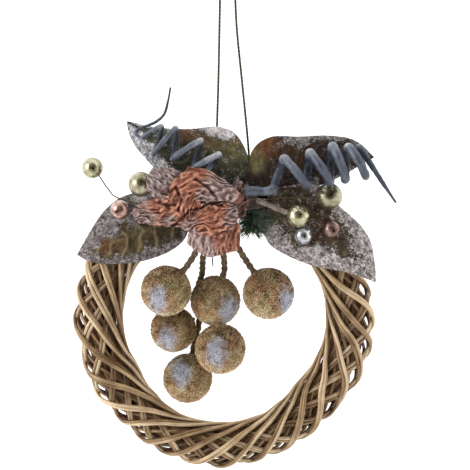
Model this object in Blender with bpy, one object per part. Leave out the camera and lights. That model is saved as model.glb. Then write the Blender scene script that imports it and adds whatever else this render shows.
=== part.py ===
"""Christmas door wreath: a ring wound from canes, with a spray fastened over its top.

The origin is the point inside the top of the hanging cord where a hook bears.
+Z is up, +X is to the right as seen from the front, and the wreath faces -Y.
Places in the spray are (right, front, up), measured from the middle of the
ring's top and counted forward from the plane that touches the ring's front.
"""

import math

import bmesh
import bpy
from mathutils import Vector, noise

MM = 0.001
GAP = 0.3 * MM

# Ring: bundles of canes wound over a closed core, quickly round its outer edge and slowly
# along its inner edge, where they lie closer and the grooves between them are shallow
RING_RADIUS = 83.75 * MM
RING_TUBE_RADIUS = 16.25 * MM
RING_BUNDLES = 8
# Bulges that the bundles make along the ring's outer edge, one for each winding
RING_BULGES = 28
OUTER_QUICKENING = 2.0
BUNDLE_HALF_WIDTH = math.radians(7)
OUTER_GROOVE_DEPTH = 3.0 * MM
INNER_GROOVE_DEPTH = 1.0 * MM
RING_SECTIONS = 76
# How uneven the ring is: degrees round it, then how many degrees ahead the canes are,
# and how many millimetres outwards and thicker the ring is
RING_UNEVENNESS = [(0, -1, 0, 0), (20, -2, -0.6, -0.8), (50, 0, 0, 0), (80.4, 3.3, 0, 0),
                   (94.9, 4.9, 0, 0), (130, 2.5, 0, 0), (160, 1, 0.3, 0), (180, 0, 0.3, 0.4),
                   (197, 4, -1, 0), (207, 3.8, -1.3, 1.2), (222, 3.4, -1.3, -1.2),
                   (245, 0.2, 0.5, -1.8), (268, -1.5, 0.4, -0.8), (290, -2.8, -1.1, -2),
                   (306, -2.6, -2.5, -1.3), (319, -2.4, -3.8, -0.2), (335, 0.7, -1.2, 0.2),
                   (349, 1.9, 0, 0.6), (360, -1, 0, 0)]

# Hanging cord
CORD_DIAMETER = 1.5 * MM
CORD_DROP = 162.0 * MM
CORD_LOOP_RADIUS = 4.5 * MM
CORD_SPACING = 3.0
RING_LEFT_OF_HOOK = 2.0 * MM

# Stem bundle: the stalks taped together, lying across the front of the ring
STEM_BUNDLE_RADIUS = 4.2 * MM
STEM_BUNDLE_END_RADIUS = 3.2 * MM
STEM_BUNDLE_LEFT = -15.0 * MM
STEM_BUNDLE_RIGHT = 25.5 * MM
STEM_BUNDLE_UP = -7.5 * MM
STEM_BUNDLE_SIDES = 10
STEM_BUNDLE_STATIONS = 6

# Leaves and petals
LEAF_THICKNESS = 0.9 * MM
LEAF_VEIN_HEIGHT = 0.35 * MM
LEAF_ARCH = 1.2 * MM
LEAF_LEAD = 0.35
LEAF_STATIONS = 10
LEAF_HALVES = 2
PETAL_THICKNESS = 1.0 * MM
PETAL_CRINKLE = 0.45 * MM
PETAL_ARCH = 0.65 * MM
CRINKLE_CHANGE = (0.9, 1.7, 5.3)
PETAL_STATIONS = 6
PETAL_HALVES = 3
PETAL_SPACING = 2.6 * MM
PETAL_FIRST_FRONT = 10.6 * MM
FLOWER_DOME = 5.0 * MM
FLOWER_RADIUS = 45.0 * MM
FLOWER_MIDDLE = (-18.0 * MM, -9.0 * MM)

# Tendrils
TENDRIL_RIGHT_RADIUS = 3.0 * MM
TENDRIL_LEFT_RADIUS = 2.2 * MM
TENDRIL_TIP_RADIUS = 0.7 * MM
TENDRIL_RIGHT_FRONT = 19.5 * MM
TENDRIL_LEFT_FRONT = 15.0 * MM
TENDRIL_RIGHT_DEPTH = 9.5 * MM
TENDRIL_LEFT_DEPTH = 8.0 * MM
# The share of a tendril's length at which it thins, to this power, down to its tip
TENDRIL_RIGHT_LATENESS = 8
TENDRIL_LEFT_LATENESS = 2.5
TENDRIL_SIDES = 6
POINTS_PER_HALF_TURN = 4

# Bunch of balls: it hangs to this far above the lower edge of the ring's hole
BUNCH_CLEARANCE = 11.65 * MM
BUNCH_HOLE_RADIUS = RING_RADIUS - RING_TUBE_RADIUS
BUNCH_DROP = RING_RADIUS + BUNCH_HOLE_RADIUS - BUNCH_CLEARANCE
BALL_STEM_RADIUS = 1.7 * MM
TWIG_RADIUS = 1.1 * MM
BALL_SEGMENTS = 12
BALL_ROWS = 8
STEM_SIDES = 6
POINTS_PER_STEM_PLACE = 3

# Beads, wires and needles
BEAD_SEGMENTS = 9
BEAD_ROWS = 6
WIRE_RADIUS = 0.45 * MM
WIRE_SIDES = 5
POINTS_PER_WIRE_PLACE = 2
WIRE_LEAD_IN = 3.0 * MM
WRAPPED_STEM_RADIUS = 1.7 * MM
WRAPPED_STEM_POINTS = 7
WIRE_END_POINTS = 6
NEEDLE_LENGTH = 10.0 * MM
NEEDLE_UNEVENNESS = 0.2
NEEDLE_DROOP = 0.75
NEEDLES_PER_ROW = 5
NEEDLE_TURN = 2.4
NEEDLE_LEAN = (0.8, 0.2)
NEEDLE_REACH_TOWARDS_LEAF = 0.6
SPRIG_RADIUS = 0.9 * MM
SPRIG_RIGHT = 17.5 * MM
SPRIG_FORWARD = 2.0 * MM
SPRIG_ROWS = 6
SPRIG_ROW_STEP = (0.1 * MM, -0.1 * MM, -2.6 * MM)

LEAVES = {
    "leaf_lower_left": {
        "rib": [(-16.2, 3.5, -9.5), (-38.5, 4.5, -20), (-68, 5, -31.5), (-96, 3, -41)],
        "left": [(-16.2, 3.5, -8), (-26, 3, -3.5), (-45, 2, 0.5), (-65, 2, -2.5),
                 (-78, 2.5, -12), (-87.5, 3, -26), (-96, 3, -41)],
        "right": [(-16.2, 3.5, -11), (-21.5, 3, -19), (-26, 2.5, -31), (-37, 2, -39.5),
                  (-55, 2, -45.5), (-74.5, 2.5, -47), (-87.5, 3, -45.5), (-96, 3, -41)],
    },
    "leaf_lower_right": {
        "rib": [(26.5, 4, -8), (48, 4.5, -19.5), (74, 4, -36.5), (99, 1, -59)],
        "left": [(26.5, 4, -9.5), (24, 2.5, -19.5), (26.5, 2, -29), (33, 1.8, -37),
                 (54, 2, -47), (80, 2.5, -52.5), (99, 1, -59)],
        "right": [(26.5, 4, -6.5), (44, 1, 3), (64, -5, 0), (75.5, -4, -9),
                  (87, -3, -19.5), (95.5, -2, -31.5), (98.5, -1, -47), (99, 1, -59)],
    },
    "leaf_upper_left": {
        "rib": [(2.5, 3, -2.4), (-16, 3, 14), (-39, 0, 30), (-64.5, -8, 47)],
        "left": [(1, 3, -2.4), (-22.5, 2.5, 1), (-38.5, 1.5, 8), (-48.5, -2, 18.5),
                 (-58.3, -5, 30), (-62.8, -7, 39), (-64.5, -8, 47)],
        "right": [(4, 3, -2.4), (13.5, 3, 9), (14.5, 1, 25), (7.5, -2, 38),
                  (-5, -4, 43), (-22.5, -4, 41.5), (-43.5, -6, 42.5), (-64.5, -8, 47)],
    },
    "leaf_upper_right": {
        "rib": [(17, 3, -2.4), (43, 2.5, 15.5), (69, 1, 24), (98.5, -4, 23)],
        "left": [(18.5, 3, -2.4), (43, 2, 4.5), (64, -3, 8.5), (79.5, -4, 14),
                 (98.5, -4, 23)],
        "right": [(15.5, 3, -2.4), (17, 3, 15.5), (19.5, 1, 28.5), (30, -2, 36),
                  (49.5, -3, 36.5), (70.5, -3, 37), (86.5, -3, 33.5), (98.5, -4, 23)],
    },
}

# Petals, as (right, up) outlines from the stalk to the tip, with the layer each lies in
PETALS = {
    "petal_bottom": {
        "layer": 0,
        "rib": [(-2.5, -14.5), (-5.5, -28), (-8, -42.5)],
        "left": [(-6.5, -14.5), (-21, -22.5), (-23.5, -33.5), (-13.5, -41.5), (-8, -42.5)],
        "right": [(1, -14.5), (9, -20.5), (10, -30), (7.5, -38), (-8, -42.5)],
    },
    "petal_right": {
        "layer": 0,
        "rib": [(2.5, -10.5), (9, -6), (15.5, 2.5)],
        "left": [(3.5, -13), (11.5, -17.5), (15.5, -9.5), (15.5, 2.5)],
        "right": [(0.5, -9), (2, 1), (9, 7.5), (15.5, 2.5)],
    },
    "petal_upper_left": {
        "layer": 1,
        "rib": [(-12.5, -9), (-28.5, 2), (-46, 15)],
        "left": [(-13.5, -10.5), (-28.5, -9.5), (-40, -5.5), (-43.5, 1), (-44.5, 8.5),
                 (-46, 15)],
        "right": [(-11, -7.5), (-20.5, 7), (-28.5, 12.5), (-38, 15.5), (-46, 15)],
    },
    "petal_left": {
        "layer": 2,
        "rib": [(-11.5, -13.5), (-35, -13.5), (-60, -14)],
        "left": [(-11.5, -16), (-22, -22.5), (-35, -22.5), (-47.5, -21.5), (-55.5, -19),
                 (-60, -14)],
        "right": [(-11.5, -11), (-28.5, -3.5), (-44.5, -5), (-54, -7.5), (-60, -14)],
    },
    "petal_front": {
        "layer": 3,
        "rib": [(-27.5, -22), (-9, -17.5), (9.5, -14.5)],
        "left": [(-27, -19.5), (-15.5, -11.5), (-1.5, -7.5), (6.5, -9), (9.5, -14.5)],
        "right": [(-27, -24.5), (-15.5, -28), (-1.5, -28), (7, -21.5), (9.5, -14.5)],
    },
    "petal_top": {
        "layer": 4,
        "rib": [(11, -5), (-7, 1.5), (-21.5, -3), (-29.5, -20)],
        "left": [(10.5, -8), (-1.5, -6.5), (-11, -7.5), (-17, -12), (-29.5, -20)],
        "right": [(10.5, -2), (2.5, 5.5), (-9, 12.5), (-21.5, 14.5), (-31, 8), (-34, -6),
                  (-29.5, -20)],
    },
}

# Glitter balls: middle (right, front, up), radius, and the route of the stem it hangs on
BALLS = {
    "glitter_ball_1": ((-38, 0.75, -64.5), 16.2),
    "glitter_ball_2": ((-6, -8.25, -71.5), 16.2),
    "glitter_ball_3": ((29, -4.25, -66.5), 16.6),
    "glitter_ball_4": ((-34, -16.25, -91), 14.9),
    "glitter_ball_5": ((-2.5, 0.75, -102.5), 16.2),
    "glitter_ball_6": ((-24.5, -16.25, -123.5), 16.1),
}
BALL_STEMS = {
    "ball_stem_1": ("glitter_ball_1", [(-15.5, -29), (-18.5, -39), (-24.5, -48.5)],
                    [3.5, 3, 1.5]),
    "ball_stem_2": ("glitter_ball_2", [(-1, -29), (-0.5, -40.5), (0, -51)], [3, -1, -7]),
    "ball_stem_3": ("glitter_ball_3", [(6, -29), (10, -38), (15, -46)], [3, 1, -2]),
    "ball_stem_6": ("glitter_ball_6", [(-11.5, -29), (-14, -42), (-15, -54), (-18, -63.5),
                                       (-17.5, -76), (-17.2, -88), (-19.5, -97)],
                    [2.5, -4, -13, -20.5, -22, -21.5, -21]),
}
BALL_STEM_STARTS = {"ball_stem_1": -13.5, "ball_stem_2": -1, "ball_stem_3": 5,
                    "ball_stem_6": -8.5}
BALL_TWIGS = {
    "ball_twig_4": ("glitter_ball_4", (-19.9, -22, -84)),
    "ball_twig_5": ("glitter_ball_5", (-17.3, -19, -95.5)),
}

# Beads: middle (right, front, up) and radius, with the route of its wire
BEADS = {
    "bead_gold_1": ((-85.5, 6, 15.5), 6.9),
    "bead_gold_2": ((-53.5, 14, 4.5), 8.1),
    "bead_copper_1": ((-67, 12.5, -12), 6.3),
    "bead_gold_3": ((68, 7, -3), 8.7),
    "bead_gold_4": ((47.5, 15, -16), 7.4),
    "bead_silver_1": ((51, 11, -28.5), 5.8),
    "bead_copper_2": ((69, 11, -24.5), 5.5),
}
BEAD_WIRES = {
    "bead_wire_1": ("bead_gold_1", [(-81, 6, 10), (-75.2, 7, 1.6), (-69, 7.5, -4),
                                    (-49, 7.8, -8.8), (-25, 7, -8.5)], (5, -8)),
    "bead_wire_2": ("bead_gold_2", [(-44, 9.2, -0.5), (-34, 8, -4.5), (-25, 6.5, -6)],
                    (4, -5.8)),
    "bead_wire_3": ("bead_copper_1", [(-58, 9.3, -12.5), (-46, 8.5, -12), (-25, 7.5, -10.5)],
                    (5.3, -9.4)),
    "bead_wire_4": ("bead_gold_3", [(56, 6.5, -4), (42, 6.5, -4), (32, 6.3, -4.5)],
                    (4.3, -5.3)),
    "bead_wire_5": ("bead_silver_1", [(43, 8.2, -23), (36, 7.3, -16), (31, 6.6, -11)],
                    (5.5, -8.8)),
    "bead_wire_6": ("bead_copper_2", [(60, 7.5, -19), (53, 6.6, -12), (42, 6.6, -7.2),
                                      (33, 6.8, -6.6)], (5.4, -7.2)),
}
WRAPPED_STEM_ROUTE = [(21, 11.5, -5.5), (28, 12, -8.5), (36, 13.2, -12)]
WIRE_END_ROUTE = [(-6, 3.1, -12.2), (-7.5, 3, -29), (-7.8, 2, -42), (-7.4, 1.5, -48.5)]

# Tendrils: the tops and bottoms of the coils, as (right, up) from the stalk outwards
TENDRIL_RIGHT_STALK = [(13.5, 17.3, 0), (20, 17.5, 0), (26, 18.5, -0.3)]
TENDRIL_RIGHT_BOTTOMS = [(31, 1), (52.5, 3.8), (67.5, 6), (77.5, 7.5), (90.5, 9.2)]
TENDRIL_RIGHT_TOPS = [(38.5, 20.5), (55, 24), (69.5, 28.2), (79.5, 28), (87, 27.8)]
TENDRIL_RIGHT_TAIL = [(92, 21.5, 19.5), (101, 19, 6), (110.5, 15, -7.5)]
TENDRIL_LEFT_STALK = [(-6, 6.4, -0.6), (-7, 8.5, 4), (-9, 12, 9)]
TENDRIL_LEFT_BOTTOMS = [(-11.5, 12.5), (-20.5, 14), (-33, 21), (-45.5, 23.5), (-53, 34)]
TENDRIL_LEFT_TOPS = [(-3.5, 23.5), (-15, 32.5), (-31, 40.5), (-40, 42)]
TENDRIL_LEFT_TAIL = [(-56.8, 13.5, 37), (-55.5, 11.5, 40), (-51, 10.5, 42), (-44, 11, 45),
                     (-38.5, 13, 50), (-36, 14, 58.5), (-34.5, 14, 67)]

# Cord: its two strands, as (right, up) from near the ring up to the loop
CORD_LEFT_ROUTE = [(-7.2, 30), (-7, 45), (-6, 78), (-5, 128.5), (-4.5, 148)]
CORD_RIGHT_ROUTE = [(14.2, 26), (12.6, 45), (9.8, 73), (6.4, 107), (5.2, 128.5), (4.5, 148)]

COLOURS = {
    "cane": ((0.44, 0.33, 0.21), 0.42, 0.55),
    "leaf": ((0.21, 0.16, 0.10), 0.55, 0.2),
    "petal": ((0.55, 0.24, 0.13), 0.5, 0.35),
    "tendril": ((0.36, 0.41, 0.50), 0.4, 0.2),
    "glitter": ((0.40, 0.30, 0.17), 0.7, 0.4),
    "bead_gold": ((0.70, 0.62, 0.38), 0.22, 0.6),
    "bead_copper": ((0.62, 0.36, 0.29), 0.25, 0.6),
    "bead_silver": ((0.72, 0.73, 0.76), 0.22, 0.6),
    "stem": ((0.16, 0.12, 0.08), 0.8, 0.0),
    "needle": ((0.03, 0.12, 0.07), 0.7, 0.0),
    "cord": ((0.17, 0.17, 0.12), 0.8, 0.0),
}


def clear_scene():
    for thing in list(bpy.data.objects):
        bpy.data.objects.remove(thing)


def make_material(name):
    colour, roughness, metallic = COLOURS[name]
    material = bpy.data.materials.new(name)
    material.use_nodes = True
    shader = material.node_tree.nodes["Principled BSDF"]
    shader.inputs["Base Color"].default_value = (*colour, 1)
    shader.inputs["Roughness"].default_value = roughness
    shader.inputs["Metallic"].default_value = metallic
    return material


def make_empty(name, place, parent=None):
    empty = bpy.data.objects.new(name, None)
    bpy.context.scene.collection.objects.link(empty)
    empty.parent = parent
    empty.location = place
    return empty


def add_object(name, mesh, finish, parent, smooth=False):
    """Links the mesh as a named piece with a material of its own."""
    piece = bpy.data.objects.new(name, mesh)
    bpy.context.scene.collection.objects.link(piece)
    piece.parent = parent
    material = MATERIALS[finish].copy()
    material.name = name + "_finish"
    piece.data.materials.append(material)
    if smooth:
        piece.data.shade_smooth()
    return piece


def mesh_of(name, shape):
    """The finished mesh of a bmesh whose faces are turned outwards."""
    bmesh.ops.recalc_face_normals(shape, faces=shape.faces)
    mesh = bpy.data.meshes.new(name)
    shape.to_mesh(mesh)
    shape.free()
    return mesh


def spot(right, front, up):
    """A place in the spray, given in millimetres."""
    return Vector((right, -front, up)) * MM


def curve_through(points, steps=12):
    """A dense smooth line through the points."""
    ends = [points[0] * 2 - points[1], *points, points[-1] * 2 - points[-2]]
    line = []
    for a, b, c, d in zip(ends, ends[1:], ends[2:], ends[3:]):
        for step in range(steps):
            t = step / steps
            line.append(0.5 * (2 * b + (c - a) * t + (2 * a - 5 * b + 4 * c - d) * t * t
                               + (3 * b - a - 3 * c + d) * t ** 3))
    return [*line, points[-1]]


def spread_along(line, shares):
    """Points at the given shares of the line's length."""
    lengths = [0.0]
    for start, end in zip(line, line[1:]):
        lengths.append(lengths[-1] + (end - start).length)
    found = []
    index = 0
    for share in shares:
        target = share * lengths[-1]
        while index < len(line) - 2 and lengths[index + 1] < target:
            index += 1
        span = lengths[index + 1] - lengths[index]
        found.append(line[index].lerp(line[index + 1], (target - lengths[index]) / span))
    return found


def smooth_route(points, count):
    shares = [index / (count - 1) for index in range(count)]
    return spread_along(curve_through(points), shares)


def between(start, end, share):
    return start + (end - start) * share


def even(radius):
    """The same radius all along a bar."""
    return lambda share: radius


def bridge(shape, rings):
    """Joins each ring of vertices to the next with a band of faces."""
    for ring, following in zip(rings, rings[1:]):
        count = len(ring)
        for index in range(count):
            after = (index + 1) % count
            shape.faces.new((ring[index], ring[after], following[after], following[index]))


def bridge_slanting(shape, ring, following):
    """Joins two rings of vertices whose second has turned ahead, by the shorter diagonals."""
    count = len(ring)
    for index in range(count):
        after = (index + 1) % count
        shape.faces.new((ring[index], ring[after], following[index]))
        shape.faces.new((ring[after], following[after], following[index]))


def make_bar(name, path, radius_at, sides, finish, parent):
    """A round bar along the path with flat ends; radius_at gives its radius by share."""
    shape = bmesh.new()
    rings = []
    side = None
    for index, point in enumerate(path):
        ahead = path[min(index + 1, len(path) - 1)] - path[max(index - 1, 0)]
        ahead.normalize()
        side = ahead.orthogonal() if side is None else side - ahead * side.dot(ahead)
        side.normalize()
        other = ahead.cross(side)
        radius = radius_at(index / (len(path) - 1))
        ring = []
        for step in range(sides):
            angle = 2 * math.pi * step / sides
            offset = side * math.cos(angle) + other * math.sin(angle)
            ring.append(shape.verts.new(point + offset * radius))
        rings.append(ring)
    bridge(shape, rings)
    shape.faces.new(rings[0])
    shape.faces.new(rings[-1])
    return add_object(name, mesh_of(name, shape), finish, parent, smooth=True)


def make_sphere(name, place, radius, segments, rings, finish, parent):
    shape = bmesh.new()
    bmesh.ops.create_uvsphere(shape, u_segments=segments, v_segments=rings, radius=radius)
    sphere = add_object(name, mesh_of(name, shape), finish, parent, smooth=True)
    sphere.location = place
    return sphere


def ring_unevenness(around):
    """How far ahead the canes are, and how far outwards and thicker the ring is, here."""
    degrees = math.degrees(around) % 360
    for before, after in zip(RING_UNEVENNESS, RING_UNEVENNESS[1:]):
        if degrees <= after[0]:
            break
    share = (degrees - before[0]) / (after[0] - before[0])
    eased = (1 - math.cos(math.pi * share)) / 2
    ahead, outwards, thicker = (between(low, high, eased)
                                for low, high in zip(before[1:], after[1:]))
    return math.radians(ahead), outwards * MM, thicker * MM


def wound(turn):
    """Angle round the tube of a cane that has made this turn, quicker round the outside."""
    return 2 * math.atan2(OUTER_QUICKENING * math.sin(turn / 2), math.cos(turn / 2))


def groove_radius(angle, tube):
    """Radius of the groove between two bundles, which is shallow along the inner edge."""
    inner = (1 - math.cos(angle)) / 2
    return tube - between(OUTER_GROOVE_DEPTH, INNER_GROOVE_DEPTH, inner ** 2)


def ring_section(around):
    """One turn round the ring's tube, as (angle, radius): two crest edges and a groove
    for each bundle of canes."""
    ahead, outwards, thicker = ring_unevenness(around)
    tube = RING_TUBE_RADIUS + thicker
    section = []
    for bundle in range(RING_BUNDLES):
        turn = (RING_BULGES * (around - ahead) + 2 * math.pi * bundle) / RING_BUNDLES
        crest = wound(turn)
        section.append((crest - BUNDLE_HALF_WIDTH, tube))
        section.append((crest + BUNDLE_HALF_WIDTH, tube))
        groove = wound(turn + math.pi / RING_BUNDLES)
        section.append((groove, groove_radius(groove, tube)))
    return outwards, section


def make_ring(parent):
    """The wound ring: its section carried round in a circle while the canes wind on."""
    shape = bmesh.new()
    rings = []
    for index in range(RING_SECTIONS):
        around = 2 * math.pi * index / RING_SECTIONS
        outwards, section = ring_section(around)
        ring = []
        for angle, radius in section:
            reach = RING_RADIUS + outwards + radius * math.cos(angle)
            depth = radius * math.sin(angle)
            place = (reach * math.cos(around), -depth, reach * math.sin(around))
            ring.append(shape.verts.new(place))
        rings.append(ring)
    # After a round each bundle meets the one that lies so many bundles farther on
    farther = RING_BULGES % RING_BUNDLES * len(rings[0]) // RING_BUNDLES
    rings.append(rings[0][farther:] + rings[0][:farther])
    for ring, following in zip(rings, rings[1:]):
        bridge_slanting(shape, ring, following)
    add_object("woven_ring", mesh_of("woven_ring", shape), "cane", parent, smooth=True)


def ring_top_height(right):
    """Height of the ring's outer edge over the middle of its top, this far to the right."""
    outer = RING_RADIUS + RING_TUBE_RADIUS
    return math.sqrt(outer ** 2 - right ** 2) - RING_RADIUS


def cord_route(hook):
    """The cord's route from the ring's top left, over the hook and down to its top right."""
    left = []
    for right, up in CORD_LEFT_ROUTE:
        left.append(Vector((right * MM, 0, up * MM - CORD_DROP)))
    right_side = []
    for right, up in CORD_RIGHT_ROUTE:
        right_side.append(Vector((right * MM, 0, up * MM - CORD_DROP)))
    for strand in (left, right_side):
        foot = strand[0].copy()
        foot.z = ring_top_height(foot.x + RING_LEFT_OF_HOOK) + GAP - CORD_DROP
        strand.insert(0, foot)
    crown = CORD_LOOP_RADIUS
    top = []
    for degrees in (180, 135, 90, 45, 0):
        angle = math.radians(degrees)
        up = CORD_DIAMETER / 2 - crown + crown * math.sin(angle)
        top.append(Vector((crown * math.cos(angle), 0, up)))
    return [point + hook for point in [*left, *top, *reversed(right_side)]]


def make_cord(hook, parent):
    line = curve_through(cord_route(hook))
    length = sum((end - start).length for start, end in zip(line, line[1:]))
    count = round(length / (CORD_SPACING * CORD_DIAMETER)) + 1
    points = spread_along(line, [index / (count - 1) for index in range(count)])
    curve = bpy.data.curves.new("hanging_cord", "CURVE")
    curve.dimensions = "3D"
    curve.bevel_depth = CORD_DIAMETER / 2
    curve.bevel_resolution = 2
    curve.use_fill_caps = True
    spline = curve.splines.new("POLY")
    spline.points.add(count - 1)
    for target, point in zip(spline.points, points):
        target.co = (*point, 1)
    add_object("hanging_cord", curve, "cord", parent)


def ring_drop(right):
    """How far the ring's middle line has fallen below its top, this far to the right."""
    return RING_RADIUS - math.sqrt(RING_RADIUS ** 2 - right ** 2)


def stem_bundle_radius(share):
    near_end = (2 * share - 1) ** 4
    return between(STEM_BUNDLE_RADIUS, STEM_BUNDLE_END_RADIUS, near_end)


def stem_bundle_front():
    """How far the bundle's middle line lies in front of the ring, to clear it all along."""
    fronts = []
    for index in range(STEM_BUNDLE_STATIONS + 1):
        share = index / STEM_BUNDLE_STATIONS
        right = between(STEM_BUNDLE_LEFT, STEM_BUNDLE_RIGHT, share)
        below = STEM_BUNDLE_UP + ring_drop(right)
        reach = RING_TUBE_RADIUS + stem_bundle_radius(share) + GAP
        fronts.append(math.sqrt(reach ** 2 - below ** 2) - RING_TUBE_RADIUS)
    return max(fronts)


def make_stem_bundle(parent):
    start = Vector((STEM_BUNDLE_LEFT, -stem_bundle_front(), STEM_BUNDLE_UP))
    end = Vector((STEM_BUNDLE_RIGHT, -stem_bundle_front(), STEM_BUNDLE_UP))
    path = [start.lerp(end, index / STEM_BUNDLE_STATIONS)
            for index in range(STEM_BUNDLE_STATIONS + 1)]
    make_bar("stem_bundle", path, stem_bundle_radius, STEM_BUNDLE_SIDES, "stem", parent)


def make_blade(name, lines, stations, halves, thickness, finish, parent, lift):
    """A thin leaf or petal between its left and right margins, humped beside its rib.

    lift gives how far a point is pushed forward, from its share of the length and the
    distance from the rib, which is 0 on the rib and 1 on a margin.
    """
    shares = [index / stations for index in range(stations + 1)]
    led = [share + LEAF_LEAD * share * (1 - share) for share in shares]
    rib = spread_along(curve_through(lines["rib"]), shares)
    margins = {
        -1: spread_along(curve_through(lines["left"]), led),
        1: spread_along(curve_through(lines["right"]), led),
    }
    shape = bmesh.new()
    rows = []
    for index, share in enumerate(shares):
        row = []
        for step in range(-halves, halves + 1):
            out = abs(step) / halves
            margin = margins[1 if step > 0 else -1][index]
            point = rib[index].lerp(margin, out)
            point.y -= lift(index, step, share, out)
            row.append(shape.verts.new(point))
        rows.append(row)
    for row, following in zip(rows, rows[1:]):
        for step in range(2 * halves):
            corners = (row[step], row[step + 1], following[step + 1], following[step])
            shape.faces.new(corners)
    bmesh.ops.remove_doubles(shape, verts=shape.verts, dist=0.01 * MM)
    blade = add_object(name, mesh_of(name, shape), finish, parent)
    solid = blade.modifiers.new("thickness", "SOLIDIFY")
    solid.thickness = thickness
    solid.offset = 0
    return blade


def make_leaf(name, parent):
    """A leaf with slanting veins, as pleats that fade out at the margin and the tip."""
    lines = {key: [spot(*place) for place in row] for key, row in LEAVES[name].items()}

    def lift(index, step, share, out):
        fade = math.sin(math.pi * share)
        pleat = LEAF_VEIN_HEIGHT * (-1) ** index * (1 - out) * fade
        return pleat + 4 * LEAF_ARCH * out * (1 - out) * fade

    make_blade(name, lines, LEAF_STATIONS, LEAF_HALVES, LEAF_THICKNESS, "leaf", parent, lift)


def flower_front(right, up, layer):
    """How far forward a petal's layer lies: the layers share one low dome."""
    aside = (right - FLOWER_MIDDLE[0]) ** 2 + (up - FLOWER_MIDDLE[1]) ** 2
    dome = FLOWER_DOME * max(0, 1 - aside / FLOWER_RADIUS ** 2)
    return PETAL_FIRST_FRONT + layer * PETAL_SPACING + dome


def make_petal(name, parent):
    """A crinkled petal, which lies over the dome of the flower in its own layer."""
    petal = PETALS[name]
    lines = {}
    for key in ("rib", "left", "right"):
        lines[key] = []
        for right, up in petal[key]:
            front = flower_front(right * MM, up * MM, petal["layer"])
            lines[key].append(Vector((right * MM, -front, up * MM)))

    def lift(index, step, share, out):
        fade = math.sin(math.pi * share)
        along, across, deep = CRINKLE_CHANGE
        place = Vector((index * along, step * across, petal["layer"] * deep))
        uneven = noise.noise(place)
        crinkle = PETAL_CRINKLE * ((-1) ** step + uneven)
        return (crinkle + PETAL_ARCH * (1 - out)) * fade

    make_blade(name, lines, PETAL_STATIONS, PETAL_HALVES, PETAL_THICKNESS, "petal", parent,
               lift)


def taper(full, lateness):
    """A radius that goes from full down to the tendrils' tip, the later the more sharply."""
    return lambda share: between(full, TENDRIL_TIP_RADIUS, share ** lateness)


def half_turn(start, end, front, depth):
    """Points from one end of a coil's half turn towards the other, bulging by depth."""
    points = []
    for step in range(POINTS_PER_HALF_TURN):
        share = step / POINTS_PER_HALF_TURN
        eased = (1 - math.cos(math.pi * share)) / 2
        right = start[0] + (end[0] - start[0]) * eased
        up = start[1] + (end[1] - start[1]) * eased
        bulge = depth * math.sin(math.pi * share)
        points.append(Vector((right * MM, -(front + bulge), up * MM)))
    return points


def coil(bottoms, tops, front, depth):
    """The coil's points: from each bottom round the back to the top, and down the front."""
    points = []
    for index, bottom in enumerate(bottoms):
        if index < len(tops):
            points += half_turn(bottom, tops[index], front, -depth)
        if index + 1 < len(bottoms) and index < len(tops):
            points += half_turn(tops[index], bottoms[index + 1], front, depth)
    return points


def make_tendrils(parent):
    """The two spiral tendrils, each from its stalk through its coils to its thin tail."""
    path = curve_through([spot(*place) for place in TENDRIL_RIGHT_STALK], 3)[:-1]
    path += coil(TENDRIL_RIGHT_BOTTOMS, TENDRIL_RIGHT_TOPS, TENDRIL_RIGHT_FRONT,
                 TENDRIL_RIGHT_DEPTH)
    last = TENDRIL_RIGHT_TOPS[-1]
    top = Vector((last[0] * MM, -TENDRIL_RIGHT_FRONT, last[1] * MM))
    path += curve_through([top] + [spot(*place) for place in TENDRIL_RIGHT_TAIL], 3)
    make_bar("tendril_right", path, taper(TENDRIL_RIGHT_RADIUS, TENDRIL_RIGHT_LATENESS),
             TENDRIL_SIDES, "tendril", parent)

    path = curve_through([spot(*place) for place in TENDRIL_LEFT_STALK], 2)[:-1]
    path += coil(TENDRIL_LEFT_BOTTOMS, TENDRIL_LEFT_TOPS, TENDRIL_LEFT_FRONT,
                 TENDRIL_LEFT_DEPTH)
    last = TENDRIL_LEFT_BOTTOMS[-1]
    bottom = Vector((last[0] * MM, -TENDRIL_LEFT_FRONT, last[1] * MM))
    path += curve_through([bottom] + [spot(*place) for place in TENDRIL_LEFT_TAIL], 2)
    make_bar("tendril_left", path, taper(TENDRIL_LEFT_RADIUS, TENDRIL_LEFT_LATENESS),
             TENDRIL_SIDES, "tendril", parent)


def bunch_scale():
    """How much larger the bunch is than its places say, so that it fills its drop."""
    lowest = max(radius - middle[2] for middle, radius in BALLS.values())
    return BUNCH_DROP / (lowest * MM)


def bunch_spot(right, front, up):
    """A place in the bunch of balls, which shrinks and grows with the ring's hole."""
    return spot(right, front, up) * bunch_scale()


def ball_middle(name):
    return bunch_spot(*BALLS[name][0])


def ball_radius(name):
    return BALLS[name][1] * MM * bunch_scale()


def towards_ball(name, point):
    """Where a stem that comes from the point ends, just clear of the ball."""
    middle = ball_middle(name)
    reach = ball_radius(name) + GAP
    return middle + (point - middle).normalized() * reach


def make_balls(parent):
    for name in BALLS:
        make_sphere(name, ball_middle(name), ball_radius(name), BALL_SEGMENTS, BALL_ROWS,
                    "glitter", parent)


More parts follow.
